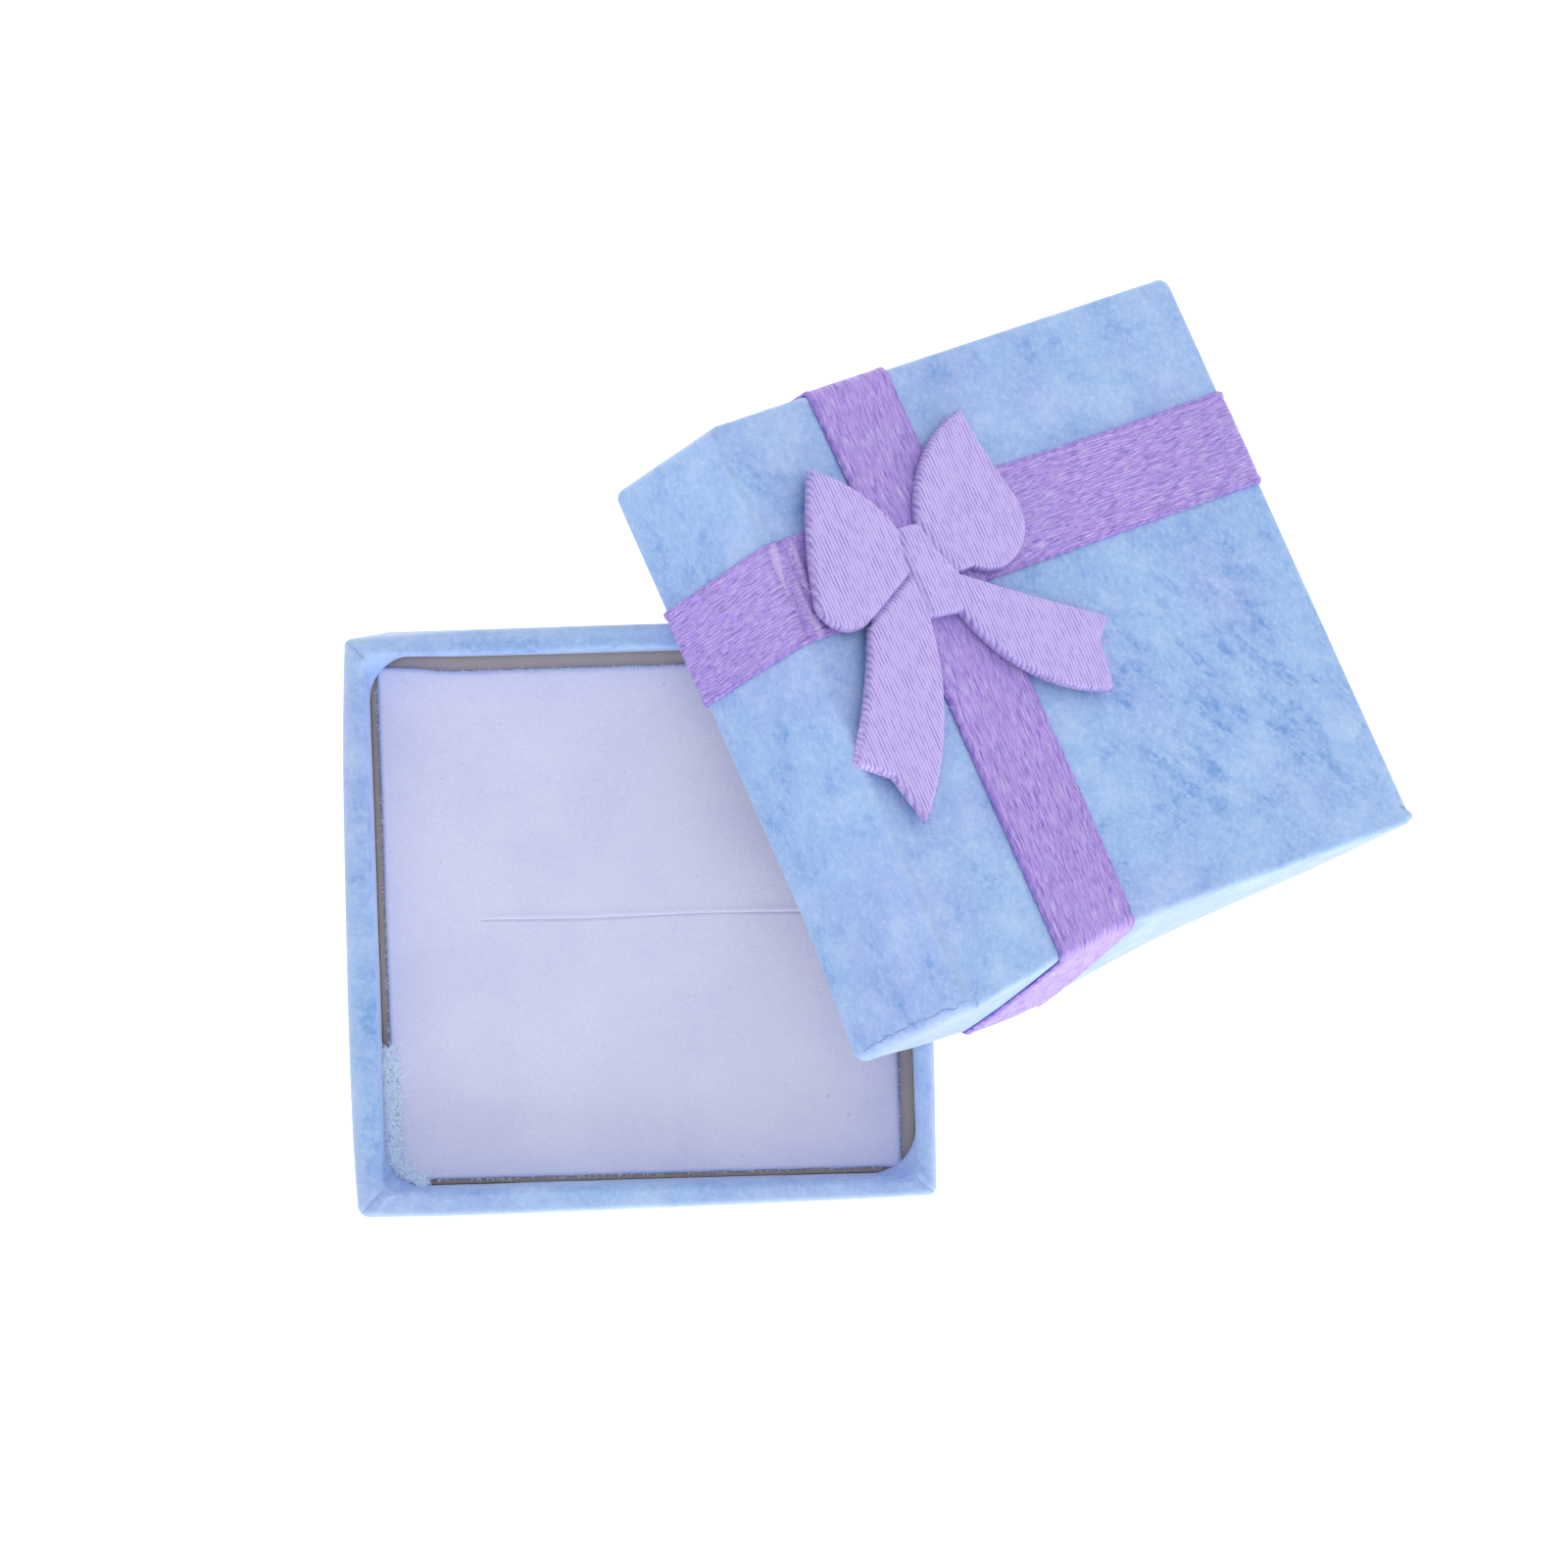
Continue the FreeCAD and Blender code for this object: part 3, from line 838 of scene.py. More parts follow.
        rows, columns = points.shape[:2]
        flat = np.vstack([points.reshape(-1, 3), [[0.0, 0.0, 0.0]]])
        faces = grid_faces(rows, columns, ring=True) + fan_faces(0, columns, len(flat) - 1, flip=True)
        if not self.mouth_up:
            flat[:, 2] = self.height - flat[:, 2]
            faces = [face[::-1] for face in faces]
        away = np.hypot(flat[:, 0] - self.streak_centre[0], flat[:, 1] - self.streak_centre[1])
        # painted highlight along the bottom edge, the rim and the upright corners
        at_edge = bell(height, 0.15, 0.35) + bell(height, self.height - 0.1, 0.3)
        upright = bell(fold, 0.0, 0.45) * (share <= 0.0)
        pale_fibre_and_edge_light = np.maximum(at_edge[:, None], upright[None]) * smooth(0.75, 0.1, inset)[:, None]
        pale_fibre_and_edge_light = self.edge_light_share * np.append(np.clip(pale_fibre_and_edge_light, 0.0, 1.0).ravel(), 0.0)
        marks = {"streaks": 1.0 - smooth(5.0, 17.0, away), "pale_fibre_and_edge_light": pale_fibre_and_edge_light}
        made = self.piece.build(place, flat, faces, marks)
        thicken(made, self.skin)
        return made


@dataclass(frozen=True)
class BoardShell:
    """Bare board of the lid, mouth down: inner face of the walls and top, with its thickness."""

    piece: Piece
    width: float
    length: float
    height: float
    wall: float = WALL
    skin: float = PAPER
    board: float = 0.95
    along_side: int = 48
    round_corner: int = 4

    def rings(self) -> tuple[SquareRings, int]:
        """The shell's rings, and how many points each has."""
        rings = SquareRings(self.width / 2, self.length / 2, self.along_side, self.round_corner)
        return rings, 4 * (self.along_side + self.round_corner)

    def make(self, place: Place) -> bpy.types.Object:
        """Builds the board as rings from behind the rim up the walls and across the top."""
        rings, around = self.rings()
        top = self.height - self.wall + self.skin
        inner = self.wall - self.skin
        half = min(self.width, self.length) / 2
        inset = np.concatenate([np.full(20, inner), np.linspace(inner, half * 0.985, 26)[1:]])
        height = np.concatenate([np.linspace(0.35, top, 20), np.full(25, top)])
        push = np.zeros((len(inset), around))
        points = rings.surface(inset, height, np.full((len(inset), 4), 0.25), push)
        rows, columns = points.shape[:2]
        flat = np.vstack([points.reshape(-1, 3), [[0.0, 0.0, top]]])
        faces = grid_faces(rows, columns, ring=True, flip=True)
        faces += fan_faces((rows - 1) * columns, columns, len(flat) - 1, flip=True)
        made = self.piece.build(place, flat, faces)
        thicken(made, self.board)
        return made

    def tape(self, place: Place, corner: int, piece: Piece, reach: float = 7.0) -> bpy.types.Object:
        """Strip of tape bent round one upright corner, just under the paper."""
        rings, around = self.rings()
        rows, margin = 24, 1.3
        height = np.linspace(margin, self.height - margin, rows)
        inset = np.full(rows, self.skin + 0.01)
        points = rings.surface(inset, height, np.full((rows, 4), 0.55), np.zeros((rows, around)))
        side = int(round(reach / self.width * self.along_side))
        first = corner * (self.along_side + self.round_corner)
        columns = (np.arange(-side, self.round_corner + side + 1) + first) % around
        strip = points[:, columns]
        made = piece.build(place, strip.reshape(-1, 3), grid_faces(*strip.shape[:2]))
        thicken(made, 0.04)
        return made


@dataclass(frozen=True)
class Tray:
    """The lower half of the box."""

    place: Place

    def make(self) -> None:
        """Builds the wrap with its stray fibres, and dresses the board and tapes."""
        low, high = self.place.box("base_wrap")
        wrap = PaperWrap(
            Piece("base_paper_wrap", "base", Slot.PAPER, ("base_wrap",)),
            high[0] - low[0], high[1] - low[1], high[2], 3.3,
            (0.6, 0.5, 0.4, 0.55), (2.6, 3.1, 2.7, 3.2),
            (0.42, 0.45, 0.22, 0.15), (0.20, 0.02, 0.03, 0.06),
            flare=(0.0, 0.05, 0.50, 0.0),
        )
        wrap.make(self.place)
        dress("base_board", Slot.BOARD)
        for corner in ("northeast", "northwest", "southeast", "southwest"):
            dress(f"base_corner_tape_{corner}", Slot.TAPE)
        top = high[2]
        roots = np.array([[-19.2, 5.4, top], [-7.6, 18.2, top - 0.3], [-19.3, -16.0, top - 0.6],
                          [-19.4, -17.4, top - 1.0], [18.2, -10.6, top - 0.6]])
        runs = np.array([[1.7, 0.25, 0.2], [0.7, 0.1, 0.05], [-0.3, -1.1, 0.1],
                         [-0.2, -0.9, 0.0], [-0.3, 0.5, 0.1]])
        curls = np.array([[0.2, 0.3, 0.0], [0.1, -0.3, 0.0], [0.3, -0.2, 0.0],
                          [0.2, 0.1, 0.0], [0.1, 0.2, 0.0]])
        points, faces = fibre_mesh(roots, runs, curls, 0.018)
        fibres = Piece("base_stray_fibres", "base", Slot.PAPER)
        # the stray fibres take the pale colour whole, as their own
        fibres.build(self.place, points, faces, {"pale_fibre_and_edge_light": np.ones(len(points))})


def dress(node: str, slot: Slot) -> None:
    """Gives a CAD node left showing its procedural material."""
    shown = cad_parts[node]
    finish = MATERIALS[slot]
    if not shown.material_slots:
        shown.data.materials.append(finish)
    for held in shown.material_slots:
        held.material = finish
    log.info("%s: CAD piece, dressed as %s", node, slot.value)


@dataclass(frozen=True)
class Cushion:
    """The insert: foam block, grey card and flocked face with the ring slit."""

    place: Place
    spacing: float = 0.28
    slit_length: float = 22.5
    slit_end: float = 5.4
    trim: tuple = (0.15, 0.10)  # how far the face's west and south edges stand in from the foam
    card_past: float = 0.13  # how far the card sheet reaches past the card, on every side

    def make(self) -> None:
        """Builds the foam, card, face and flock edge."""
        self.make_foam()
        self.make_face()
        self.make_card()
        self.make_pile()

    def make_foam(self) -> None:
        """Foam block: rings of a rounded square, bowed out at mid height, closed at both ends."""
        low, high = self.place.box("insert_foam")
        middle = (low + high) / 2
        size = high - low
        rings = SquareRings(size[0] / 2, size[1] / 2, 40, 6)
        edge = 0.7
        turn = np.linspace(0.0, np.pi / 2, 7)[1:]
        half = size[:2].min() / 2
        inset = np.concatenate([np.linspace(half * 0.97, edge, 14), edge - edge * np.sin(turn),
                                np.zeros(22), edge - edge * np.cos(turn),
                                np.linspace(edge, half * 0.97, 15)[1:]])
        height = np.concatenate([np.zeros(14), edge - edge * np.cos(turn),
                                 np.linspace(edge, size[2] - edge, 23)[1:],
                                 size[2] - edge + edge * np.sin(turn), np.full(14, size[2])])
        _, _, share, _ = rings.samples()
        rows = len(inset)
        pinch = np.sin(np.pi * np.clip(height / size[2], 0, 1))[:, None]
        push = -0.22 * (1.0 - pinch * np.sin(np.pi * share)[None]) * (inset < edge + 0.01)[:, None]
        points = rings.surface(inset, height, np.full((rows, 4), 0.9), push)
        points[..., 0] += middle[0]
        points[..., 1] += middle[1]
        points[..., 2] += low[2]
        columns = points.shape[1]
        poles = [[*middle[:2], low[2]], [*middle[:2], high[2]]]
        flat = np.vstack([points.reshape(-1, 3), poles])
        faces = grid_faces(rows, columns, ring=True) + fan_faces(0, columns, rows * columns, flip=True)
        faces += fan_faces((rows - 1) * columns, columns, rows * columns + 1)
        foam = Piece("insert_foam_block", "insert", Slot.FOAM, ("insert_foam",))
        foam = foam.build(self.place, flat, faces)

    def make_card(self) -> None:
        """Grey card under the face: a level sheet that just meets the paper, barely wavy.

        Its cut edge is rounded over by the last 0.06 mm.
        """
        low, high = self.place.box("insert_card")
        reach = (high - low)[:2] / 2 + self.card_past
        share = np.concatenate([[-1.0, -0.9985], np.linspace(-0.996, 0.996, 61), [0.9985, 1.0]])
        x, y = np.meshgrid(share * reach[0], share * reach[1])
        inner = np.minimum(reach[0] - np.abs(x), reach[1] - np.abs(y))
        z = high[2] + 0.03 * ripple(x, y, 9.0, 51) - 0.04 * smooth(0.06, 0.0, inner)
        points = np.stack([x, y, z], -1).reshape(-1, 3)
        card = Piece("insert_card_sheet", "insert", Slot.CARD, ("insert_card",))
        thicken(card.build(self.place, points, grid_faces(*x.shape)), high[2] - low[2] - 0.05)

    def make_face(self) -> None:
        """Flocked face: a level sheet whose rim rolls down to the card, cut by the ring slit.

        Height is the top, less a bell-shaped groove along the slit and its end cuts, plus
        a slow swell.
        """
        _, high = self.place.box("insert_card")
        foam_low, foam_high = self.place.box("insert_foam")
        west, south = foam_low[:2] + self.trim
        east, north = foam_high[:2]
        top = high[2] + 0.5
        slit_x = (west + east) / 2 + 0.3
        slit_y = (south + north) / 2 + 0.3
        fine = np.array([-0.3, -0.16, -0.08, -0.04, 0.0, 0.04, 0.08, 0.16, 0.3])
        roll = np.array([0.0, 0.03, 0.09, 0.18, 0.3])
        ends = (slit_x - self.slit_length / 2, slit_x + self.slit_length / 2)
        xs = np.unique(np.concatenate([np.arange(west + 0.4, east - 0.4, self.spacing), ends[0] + fine,
                                       ends[1] + fine, west + roll, east - roll]))
        ys = np.unique(np.concatenate([np.arange(south + 0.4, north - 0.4, self.spacing), slit_y + fine,
                                       south + roll, north - roll]))
        x, y = np.meshgrid(xs, ys)
        inner = np.minimum(np.minimum(x - west, east - x), np.minimum(y - south, north - y))
        roll_down = 0.32 * (1.0 - np.sqrt(1.0 - (1.0 - np.clip(inner / 0.3, 0.0, 1.0)) ** 2))
        along = smooth(ends[0] - 0.2, ends[0] + 0.4, x)
        along = along * (1.0 - smooth(ends[1] - 0.4, ends[1] + 0.2, x))
        wander = 0.06 * np.sin(x * 0.35)
        cut = 0.10 * bell(y - wander, slit_y, 0.05) * along
        near_end = 1.0 - smooth(self.slit_end / 2 - 0.5, self.slit_end / 2, np.abs(y - slit_y))
        cut = np.maximum(cut, 0.02 * bell(x, ends[0], 0.07) * near_end)
        cut = np.maximum(cut, 0.02 * bell(x, ends[1], 0.07) * near_end)
        swell = 0.05 * ripple(x, y, 14.0, 5) * smooth(0.3, 3.0, inner)
        lift = 0.04 * bell(y, slit_y + 0.22, 0.16) * along
        z = top - roll_down - cut + swell - 0.06 + lift
        fray = 0.05 * ripple(x * 6.0, y * 6.0, 2.4, 9) * (inner < 0.2)
        px = x + fray * (np.abs(x - (west + east) / 2) > (east - west) / 2 - 0.2)
        py = y + fray * (np.abs(y - (south + north) / 2) > (north - south) / 2 - 0.2)
        py = py + 0.45 * smooth(6.0, 0.0, x - west) * smooth(north - 3.0, north, y)
        points = np.stack([px, py, z], -1).reshape(-1, 3)
        faces = grid_faces(len(ys), len(xs))
        face = Piece("insert_flocked_face", "insert", Slot.FLOCK, ("insert_face",))
        face = face.build(self.place, points, faces)
        thicken(face, 0.14)

    def make_pile(self) -> None:
        """Torn flock over the west gap: a matted bed, darker blue as painted shade between the hairs,
        with curled hairs standing out of it.
        """
        low, high = self.place.box("insert_face")
        rng = np.random.default_rng(41)
        u, v = np.meshgrid(np.linspace(0.0, 1.0, 22), np.linspace(0.0, 1.0, 150))
        bed_y = low[1] - 0.35 + 9.7 * v
        west = low[0] - 0.52 + 2.2 * smooth(2.4, -0.4, bed_y - low[1]) ** 2
        ragged = 0.16 * ripple(bed_y * 3.0, u * 0.0, 2.2, 35)
        ragged = ragged - 0.5 * smooth(0.05, 0.0, v) - 0.4 * smooth(0.96, 1.0, v)
        bed_x = west + (1.22 + ragged) * u
        lumps = 0.10 * ripple(bed_x * 4.0, bed_y * 4.0, 2.5, 33)
        lumps = lumps + 0.05 * ripple(bed_x * 9.0, bed_y * 9.0, 2.5, 34)
        bed_z = high[2] - 0.42 - 0.40 * np.abs(2.0 * u - 1.0) ** 3 + lumps
        bed = np.stack([bed_x, bed_y, bed_z], -1).reshape(-1, 3)
        # painted shade: the bed's darker blue stands for the shade between the hairs
        strip = Piece("insert_flock_strip", "insert", Slot.FLOCK, finish=SHADED_FLOCK_BED)
        thicken(strip.build(self.place, bed, grid_faces(150, 22)), 0.12)

        count = 2600
        picks = rng.choice(len(bed), count)
        roots = bed[picks] + [0.0, 0.0, 0.12]
        runs = rng.normal(0.0, 1.0, (count, 3)) * [0.26, 0.30, 0.06] + [0.0, 0.0, 0.16]
        curls = rng.normal(0.0, 0.24, (count, 3)) * [1.0, 1.0, 0.3]
        points, faces = fibre_mesh(roots, runs, curls, 0.030, 5)
        # the hairs' finish glows: painted light
        flock = Piece("insert_torn_flock", "insert", Slot.FLOCK, finish=GLOWING_TORN_FLOCK)
        flock.build(self.place, points, faces)
        self.make_fuzz(rng, high[2] - 0.75)

    def make_fuzz(self, rng: np.random.Generator, level: float) -> None:
        """Short hairs standing out of the face's four cut edges.

        Args:
            rng: the source of the hairs' places.
            level: their height.
        """
        low, high = self.place.box("insert_foam")
        low = low + [*self.trim, 0.0]
        middle, half = (low + high)[:2] / 2, (high - low)[:2] / 2
        count = 760
        along = rng.uniform(-1.0, 1.0, count)
        out = np.array([[1.0, 0.0], [0.0, 1.0], [-1.0, 0.0], [0.0, -1.0]])[rng.integers(0, 4, count)]
        root = middle + half * (out + along[:, None] * out[:, ::-1]) - 0.05 * out
        roots = np.column_stack([root, np.full(count, level)])
        runs = np.column_stack([out * rng.uniform(0.05, 0.20, (count, 1)), np.zeros(count)])
        runs += rng.normal(0.0, 0.08, (count, 3)) * [1.0, 1.0, 0.4]
        points, faces = fibre_mesh(roots, runs, rng.normal(0.0, 0.05, (count, 3)), 0.02, 4)
        # the hairs' finish glows: painted light
        hairs = Piece("insert_edge_fuzz", "insert", Slot.FLOCK, finish=GLOWING_TORN_FLOCK)
        hairs.build(self.place, points, faces)


@dataclass(frozen=True)
class Ribbon:
    """Flat woven ribbon round the lid: inside, rim, wall, top, and down again."""

    piece: Piece
    lengthwise: bool
    middle: float  # where its centre line crosses the other axis
    span: float
    depth: float
    climb_at: float | None
    wall: float = WALL
    thickness: float = 0.2
    width: float = 7.0
    tuck: float = 6.0
    bend: float = 0.5
    pleats: tuple = ()  # of each small pleat on the top: where it crosses, and its slant

    def path(self) -> tuple[Array, Array]:
        """Middle line in the plane of the wrap, as distance along the lid and height.

        Straight runs between corners, each corner a quarter circle.
        """
        half = self.thickness / 2
        outside = self.span / 2 + half
        inside = self.span / 2 - self.wall - half
        b = self.bend
        turn = np.linspace(0.0, np.pi / 2, 10)
        top = self.depth + half
        low = -half
        s = np.concatenate([
            np.full(14, inside), inside + b - b * np.cos(turn), outside - b + b * np.sin(turn),
            np.full(30, outside), outside - b + b * np.cos(turn),
        ])
        z = np.concatenate([
            np.linspace(self.tuck, low + b, 15)[:14],
            low + b - b * np.sin(turn), low + b - b * np.cos(turn),
            np.linspace(low + b, top - b, 32)[1:31], top - b + b * np.sin(turn),
        ])
        across = np.linspace(outside - b, -(outside - b), 132)[1:-1]
        return np.concatenate([s, across, -s[::-1]]), np.concatenate([z, np.full(130, top), z[::-1]])

    def make(self, place: Place) -> bpy.types.Object:
        """Builds the ribbon: threads as a fine corrugation, with a twisted cord at each edge."""
        s, z = self.path()
        if self.climb_at is not None:
            over = smooth(self.width / 2 + 1.3, self.width / 2, np.abs(s - self.climb_at))
            over = over * (z > self.depth)
            z = z + self.thickness * over
        along = np.concatenate([[0.0], np.cumsum(np.hypot(np.diff(s), np.diff(z)))])
        ds, dz = np.gradient(s, along), np.gradient(z, along)
        size = np.hypot(ds, dz)
        out_s, out_z = dz / size, -ds / size
        fine = np.array([0.0, 0.012, 0.03, 0.06, 0.1])
        inner = np.linspace(-self.width / 2 + 0.15, self.width / 2 - 0.15, 109)
        w = np.concatenate([fine - self.width / 2, inner, self.width / 2 - fine[::-1]])[None]
        drift = 0.16 * np.sin(along / 11.0 + self.middle)[:, None]
        squeeze = 1.0 + 0.02 * np.sin(along / 6.3)[:, None]
        threads = 0.022 * np.sin(2.0 * np.pi * w / 0.22 + 1.2 * np.sin(along[:, None] / 3.1))
        edge = self.width / 2 - np.abs(w)
        cord = 0.05 * bell(edge, 0.26, 0.2) * (1.0 + 0.35 * np.sin(along[:, None] * 2.0 * np.pi / 0.95))
        groove = -0.05 * bell(edge, 0.62, 0.08)
        roll = 1.0 - np.sqrt(1.0 - (1.0 - np.clip(edge / 0.13, 0.0, 1.0)) ** 2)
        lift = threads + cord + groove + 0.03 * ripple(along[:, None], w * 2.0, 6.0, 13)
        lift = lift + self.thickness / 2
        lift = lift - 0.15 * roll
        pleat = np.zeros_like(lift)
        for crossing, slant in self.pleats:
            far = s[:, None] - crossing - slant * w
            pleat += (bell(far, 0.0, 0.22) - 0.8 * bell(far, 0.5, 0.2)) * (z > self.depth)[:, None]
        lift = lift + 0.09 * pleat * smooth(0.3, 1.2, edge)
        across = w * squeeze + drift * smooth(1.0, 6.0, z)[:, None]
        scallop = 0.035 * np.sin(along[:, None] * 2.0 * np.pi / 0.9)
        across = across + scallop * bell(edge, 0.0, 0.4) * np.sign(w)
        wide = self.middle + across
        run = s[:, None] + out_s[:, None] * lift
        rise = z[:, None] + out_z[:, None] * lift
        order = (wide, run, rise) if self.lengthwise else (run, wide, rise)
        points = np.stack(np.broadcast_arrays(*order), -1).reshape(-1, 3)
        weave = np.stack(np.broadcast_arrays(along[:, None], w, pleat), -1)
        weave = weave.reshape(-1, 3)
        faces = grid_faces(len(s), w.shape[1], flip=not self.lengthwise)
        made = self.piece.build(place, points, faces, {"weave_mm": weave})
        thicken(made, self.thickness * 0.3)
        return made


class Edge(Enum):
    """How two points of the bow's outline are joined."""

    LINE = "line"
    ARC = "arc"


@dataclass(frozen=True)
class Bow:
    """Flat bow cut from padded satin: two wings, two tails and a pressed knot."""

    place: Place
    edge_round: float = 0.3
    backing: float = 0.12
    start: tuple = (-1.0, 3.3)
    outline: tuple = (
        (Edge.ARC, (-2.7, 6.4), (-5.7, 8.9)),
        (Edge.ARC, (-8.2, 4.4), (-9.8, 0.0)),
        (Edge.ARC, (-9.0, -1.6), (-6.6, -2.2)),
        (Edge.LINE, (-5.9, -1.95)),
        (Edge.LINE, (-5.95, -2.04)),
        (Edge.LINE, (-6.5, -2.3)),
        (Edge.ARC, (-9.0, -6.4), (-12.2, -10.4)),
        (Edge.LINE, (-9.7, -12.2)),
        (Edge.LINE, (-8.7, -15.7)),
        (Edge.ARC, (-3.4, -8.9), (-1.5, -3.2)),
        (Edge.LINE, (1.1, -3.5)),
        (Edge.ARC, (4.9, -9.3), (10.4, -12.1)),
        (Edge.LINE, (11.1, -8.6)),
        (Edge.LINE, (12.6, -7.2)),
        (Edge.ARC, (7.6, -4.3), (2.4, -1.05)),
        (Edge.LINE, (3.6, -1.0)),
        (Edge.ARC, (8.4, -0.6), (9.4, 2.8)),
        (Edge.ARC, (8.6, 6.2), (8.1, 9.5)),
        (Edge.ARC, (3.4, 7.1), (0.7, 3.2)),
        (Edge.LINE, (-1.0, 3.3)),
    )
    strays: tuple = (  # long loose threads: where each is rooted, how far it runs, its curl
        (8.9, 0.9, 2.0, 3.1, -0.8, 0.5), (7.9, -0.4, -0.6, -3.4, 0.9, 0.2),
        (-9.3, 0.6, -1.6, 1.2, 0.3, 0.6),
        (-0.6, 3.2, 1.3, 1.0, -0.3, 0.5), (10.9, -8.7, 1.6, -0.7, 0.3, 0.6),
        (-9.4, -13.0, -1.2, -0.9, 0.5, -0.4),
    )
    creases: tuple = (((-1.0, 3.1), (-1.55, 0.9)), ((-1.55, 0.9), (-1.35, -3.1)),
                      ((0.8, 3.0), (1.25, 1.1)), ((1.25, 1.1), (2.25, -1.0)))

    cut: tuple = ((-5.9, -2.0), (-1.7, -0.05))  # between the left wing and its tail

    def ring(self) -> Array:
        """Outline as closely spaced points, anticlockwise."""
        here = self.start
        runs = []
        for kind, *way in self.outline:
            length = sum(np.hypot(b[0] - a[0], b[1] - a[1]) for a, b in zip([here, *way], way))
            count = max(int(length / 0.16), 1)
            if kind is Edge.ARC:
                runs.append(arc_through(here, *way, count))
            else:
                share = np.linspace(0.0, 1.0, count, endpoint=False)[:, None]
                runs.append(np.array(here) * (1.0 - share) + np.array(way[0]) * share)
            here = way[-1]
        return np.vstack(runs)

    def fill(self, ring: Array, spacing: float) -> tuple[Array, Array]:
        """Triangles of the cut-out: its outline and a staggered grid of points inside it.

        A grid alone can't follow a die-cut outline, so the points are joined by a
        constrained Delaunay triangulation.
        """
        low, high = ring.min(0), ring.max(0)
        xs = np.arange(low[0], high[0], spacing)
        ys = np.arange(low[1], high[1], spacing * 0.866)
        x, y = np.meshgrid(xs, ys)
        x = x + (np.arange(len(ys)) % 2)[:, None] * spacing / 2
        inner = np.stack([x.ravel(), y.ravel()], 1)
        far = distance_to_lines(inner, ring, np.roll(ring, -1, 0))
        nxt = np.roll(ring, -1, 0)
        crosses = (ring[:, 1] > inner[:, 1:]) != (nxt[:, 1] > inner[:, 1:])
        climb = nxt[:, 1] - ring[:, 1]
        slope = (nxt[:, 0] - ring[:, 0]) / np.where(climb == 0.0, 1e-9, climb)
        hits = crosses & (inner[:, :1] < ring[:, 0] + slope * (inner[:, 1:] - ring[:, 1]))
        inner = inner[(hits.sum(1) % 2 == 1) & (far > spacing * 0.45)]
        every = np.vstack([ring, inner])
        loop = list(range(len(ring)))
        edges = list(zip(loop, loop[1:] + loop[:1]))
        made = geometry.delaunay_2d_cdt([Vector(p) for p in every], edges, [loop], 1, 1e-6)
        return np.array([tuple(p) for p in made[0]]), np.array(made[2])

    def shell(self, ring: Array, low: float, rise: Array, flat: Array,
              triangles: Array) -> tuple[Array, list]:
        """Closed body on a flat underside: top points lifted by rise, joined at the outline."""
        rim = distance_to_lines(flat, ring, np.roll(ring, -1, 0)) < 1e-4
        top = np.column_stack([flat, low + np.where(rim, 0.0, rise)])
        bottom = np.column_stack([flat, np.full(len(flat), low)])
        under = np.where(rim, np.arange(len(flat)), np.arange(len(flat)) + len(flat))
        faces = triangles.tolist() + under[triangles[:, ::-1]].tolist()
        return np.vstack([top, bottom]), faces

    def make(self) -> None:
        """Builds the satin body, its backing and the frayed threads, and dresses the glue."""
        glue_low, glue_high = self.place.box("bow_glue_dot")
        knot = (glue_low + glue_high) / 2
        back_low, _ = self.place.box("bow_backing")
        _, face_high = self.place.box("bow_face")
        total = face_high[2] - back_low[2] - self.backing
        ring = self.ring()
        flat, triangles = self.fill(ring, 0.17)
        far = distance_to_lines(flat, ring, np.roll(ring, -1, 0))
        rounding = np.sqrt(1.0 - (1.0 - np.clip(far / self.edge_round, 0.0, 1.0)) ** 2)
        starts = np.array([c[0] for c in self.creases])
        ends = np.array([c[1] for c in self.creases])
        groove = distance_to_lines(flat, starts, ends)
        swell = 0.06 * smooth(0.2, 1.6, far) - 0.03 + 0.03 * ripple(flat[:, 0], flat[:, 1], 5.0, 17)
        rise = total * rounding * (0.92 + swell) - 0.24 * bell(groove, 0.0, 0.15) * rounding
        cut = distance_to_lines(flat, np.array(self.cut[:1]), np.array(self.cut[1:]))
        rise = np.maximum(rise - 0.50 * bell(cut, 0.0, 0.14), 0.02)
        points, faces = self.shell(ring, back_low[2] + self.backing, rise, flat, triangles)
        points[:, :2] += knot[:2]
        used = np.unique(np.array(faces))
        index = np.full(len(points), -1)
        index[used] = np.arange(len(used))
        faces = index[np.array(faces)].tolist()
        satin = Piece("bow_padded_satin", "lid", Slot.SATIN, ("bow_face", "bow_core"))
        satin.build(self.place, points[used], faces)

        even = np.full(len(flat), self.backing * 0.9)
        points, faces = self.shell(ring, back_low[2], even, flat, triangles)
        points[:, :2] = points[:, :2] * 0.985 + knot[:2]
        used = np.unique(np.array(faces))
        index = np.full(len(points), -1)
        index[used] = np.arange(len(used))
        back = Piece("bow_backing_layer", "lid", Slot.BACKING, ("bow_backing",))
        back.build(self.place, points[used], index[np.array(faces)].tolist())
        self.fray(ring, knot, back_low[2] + self.backing)
        dress("bow_glue_dot", Slot.GLUE)

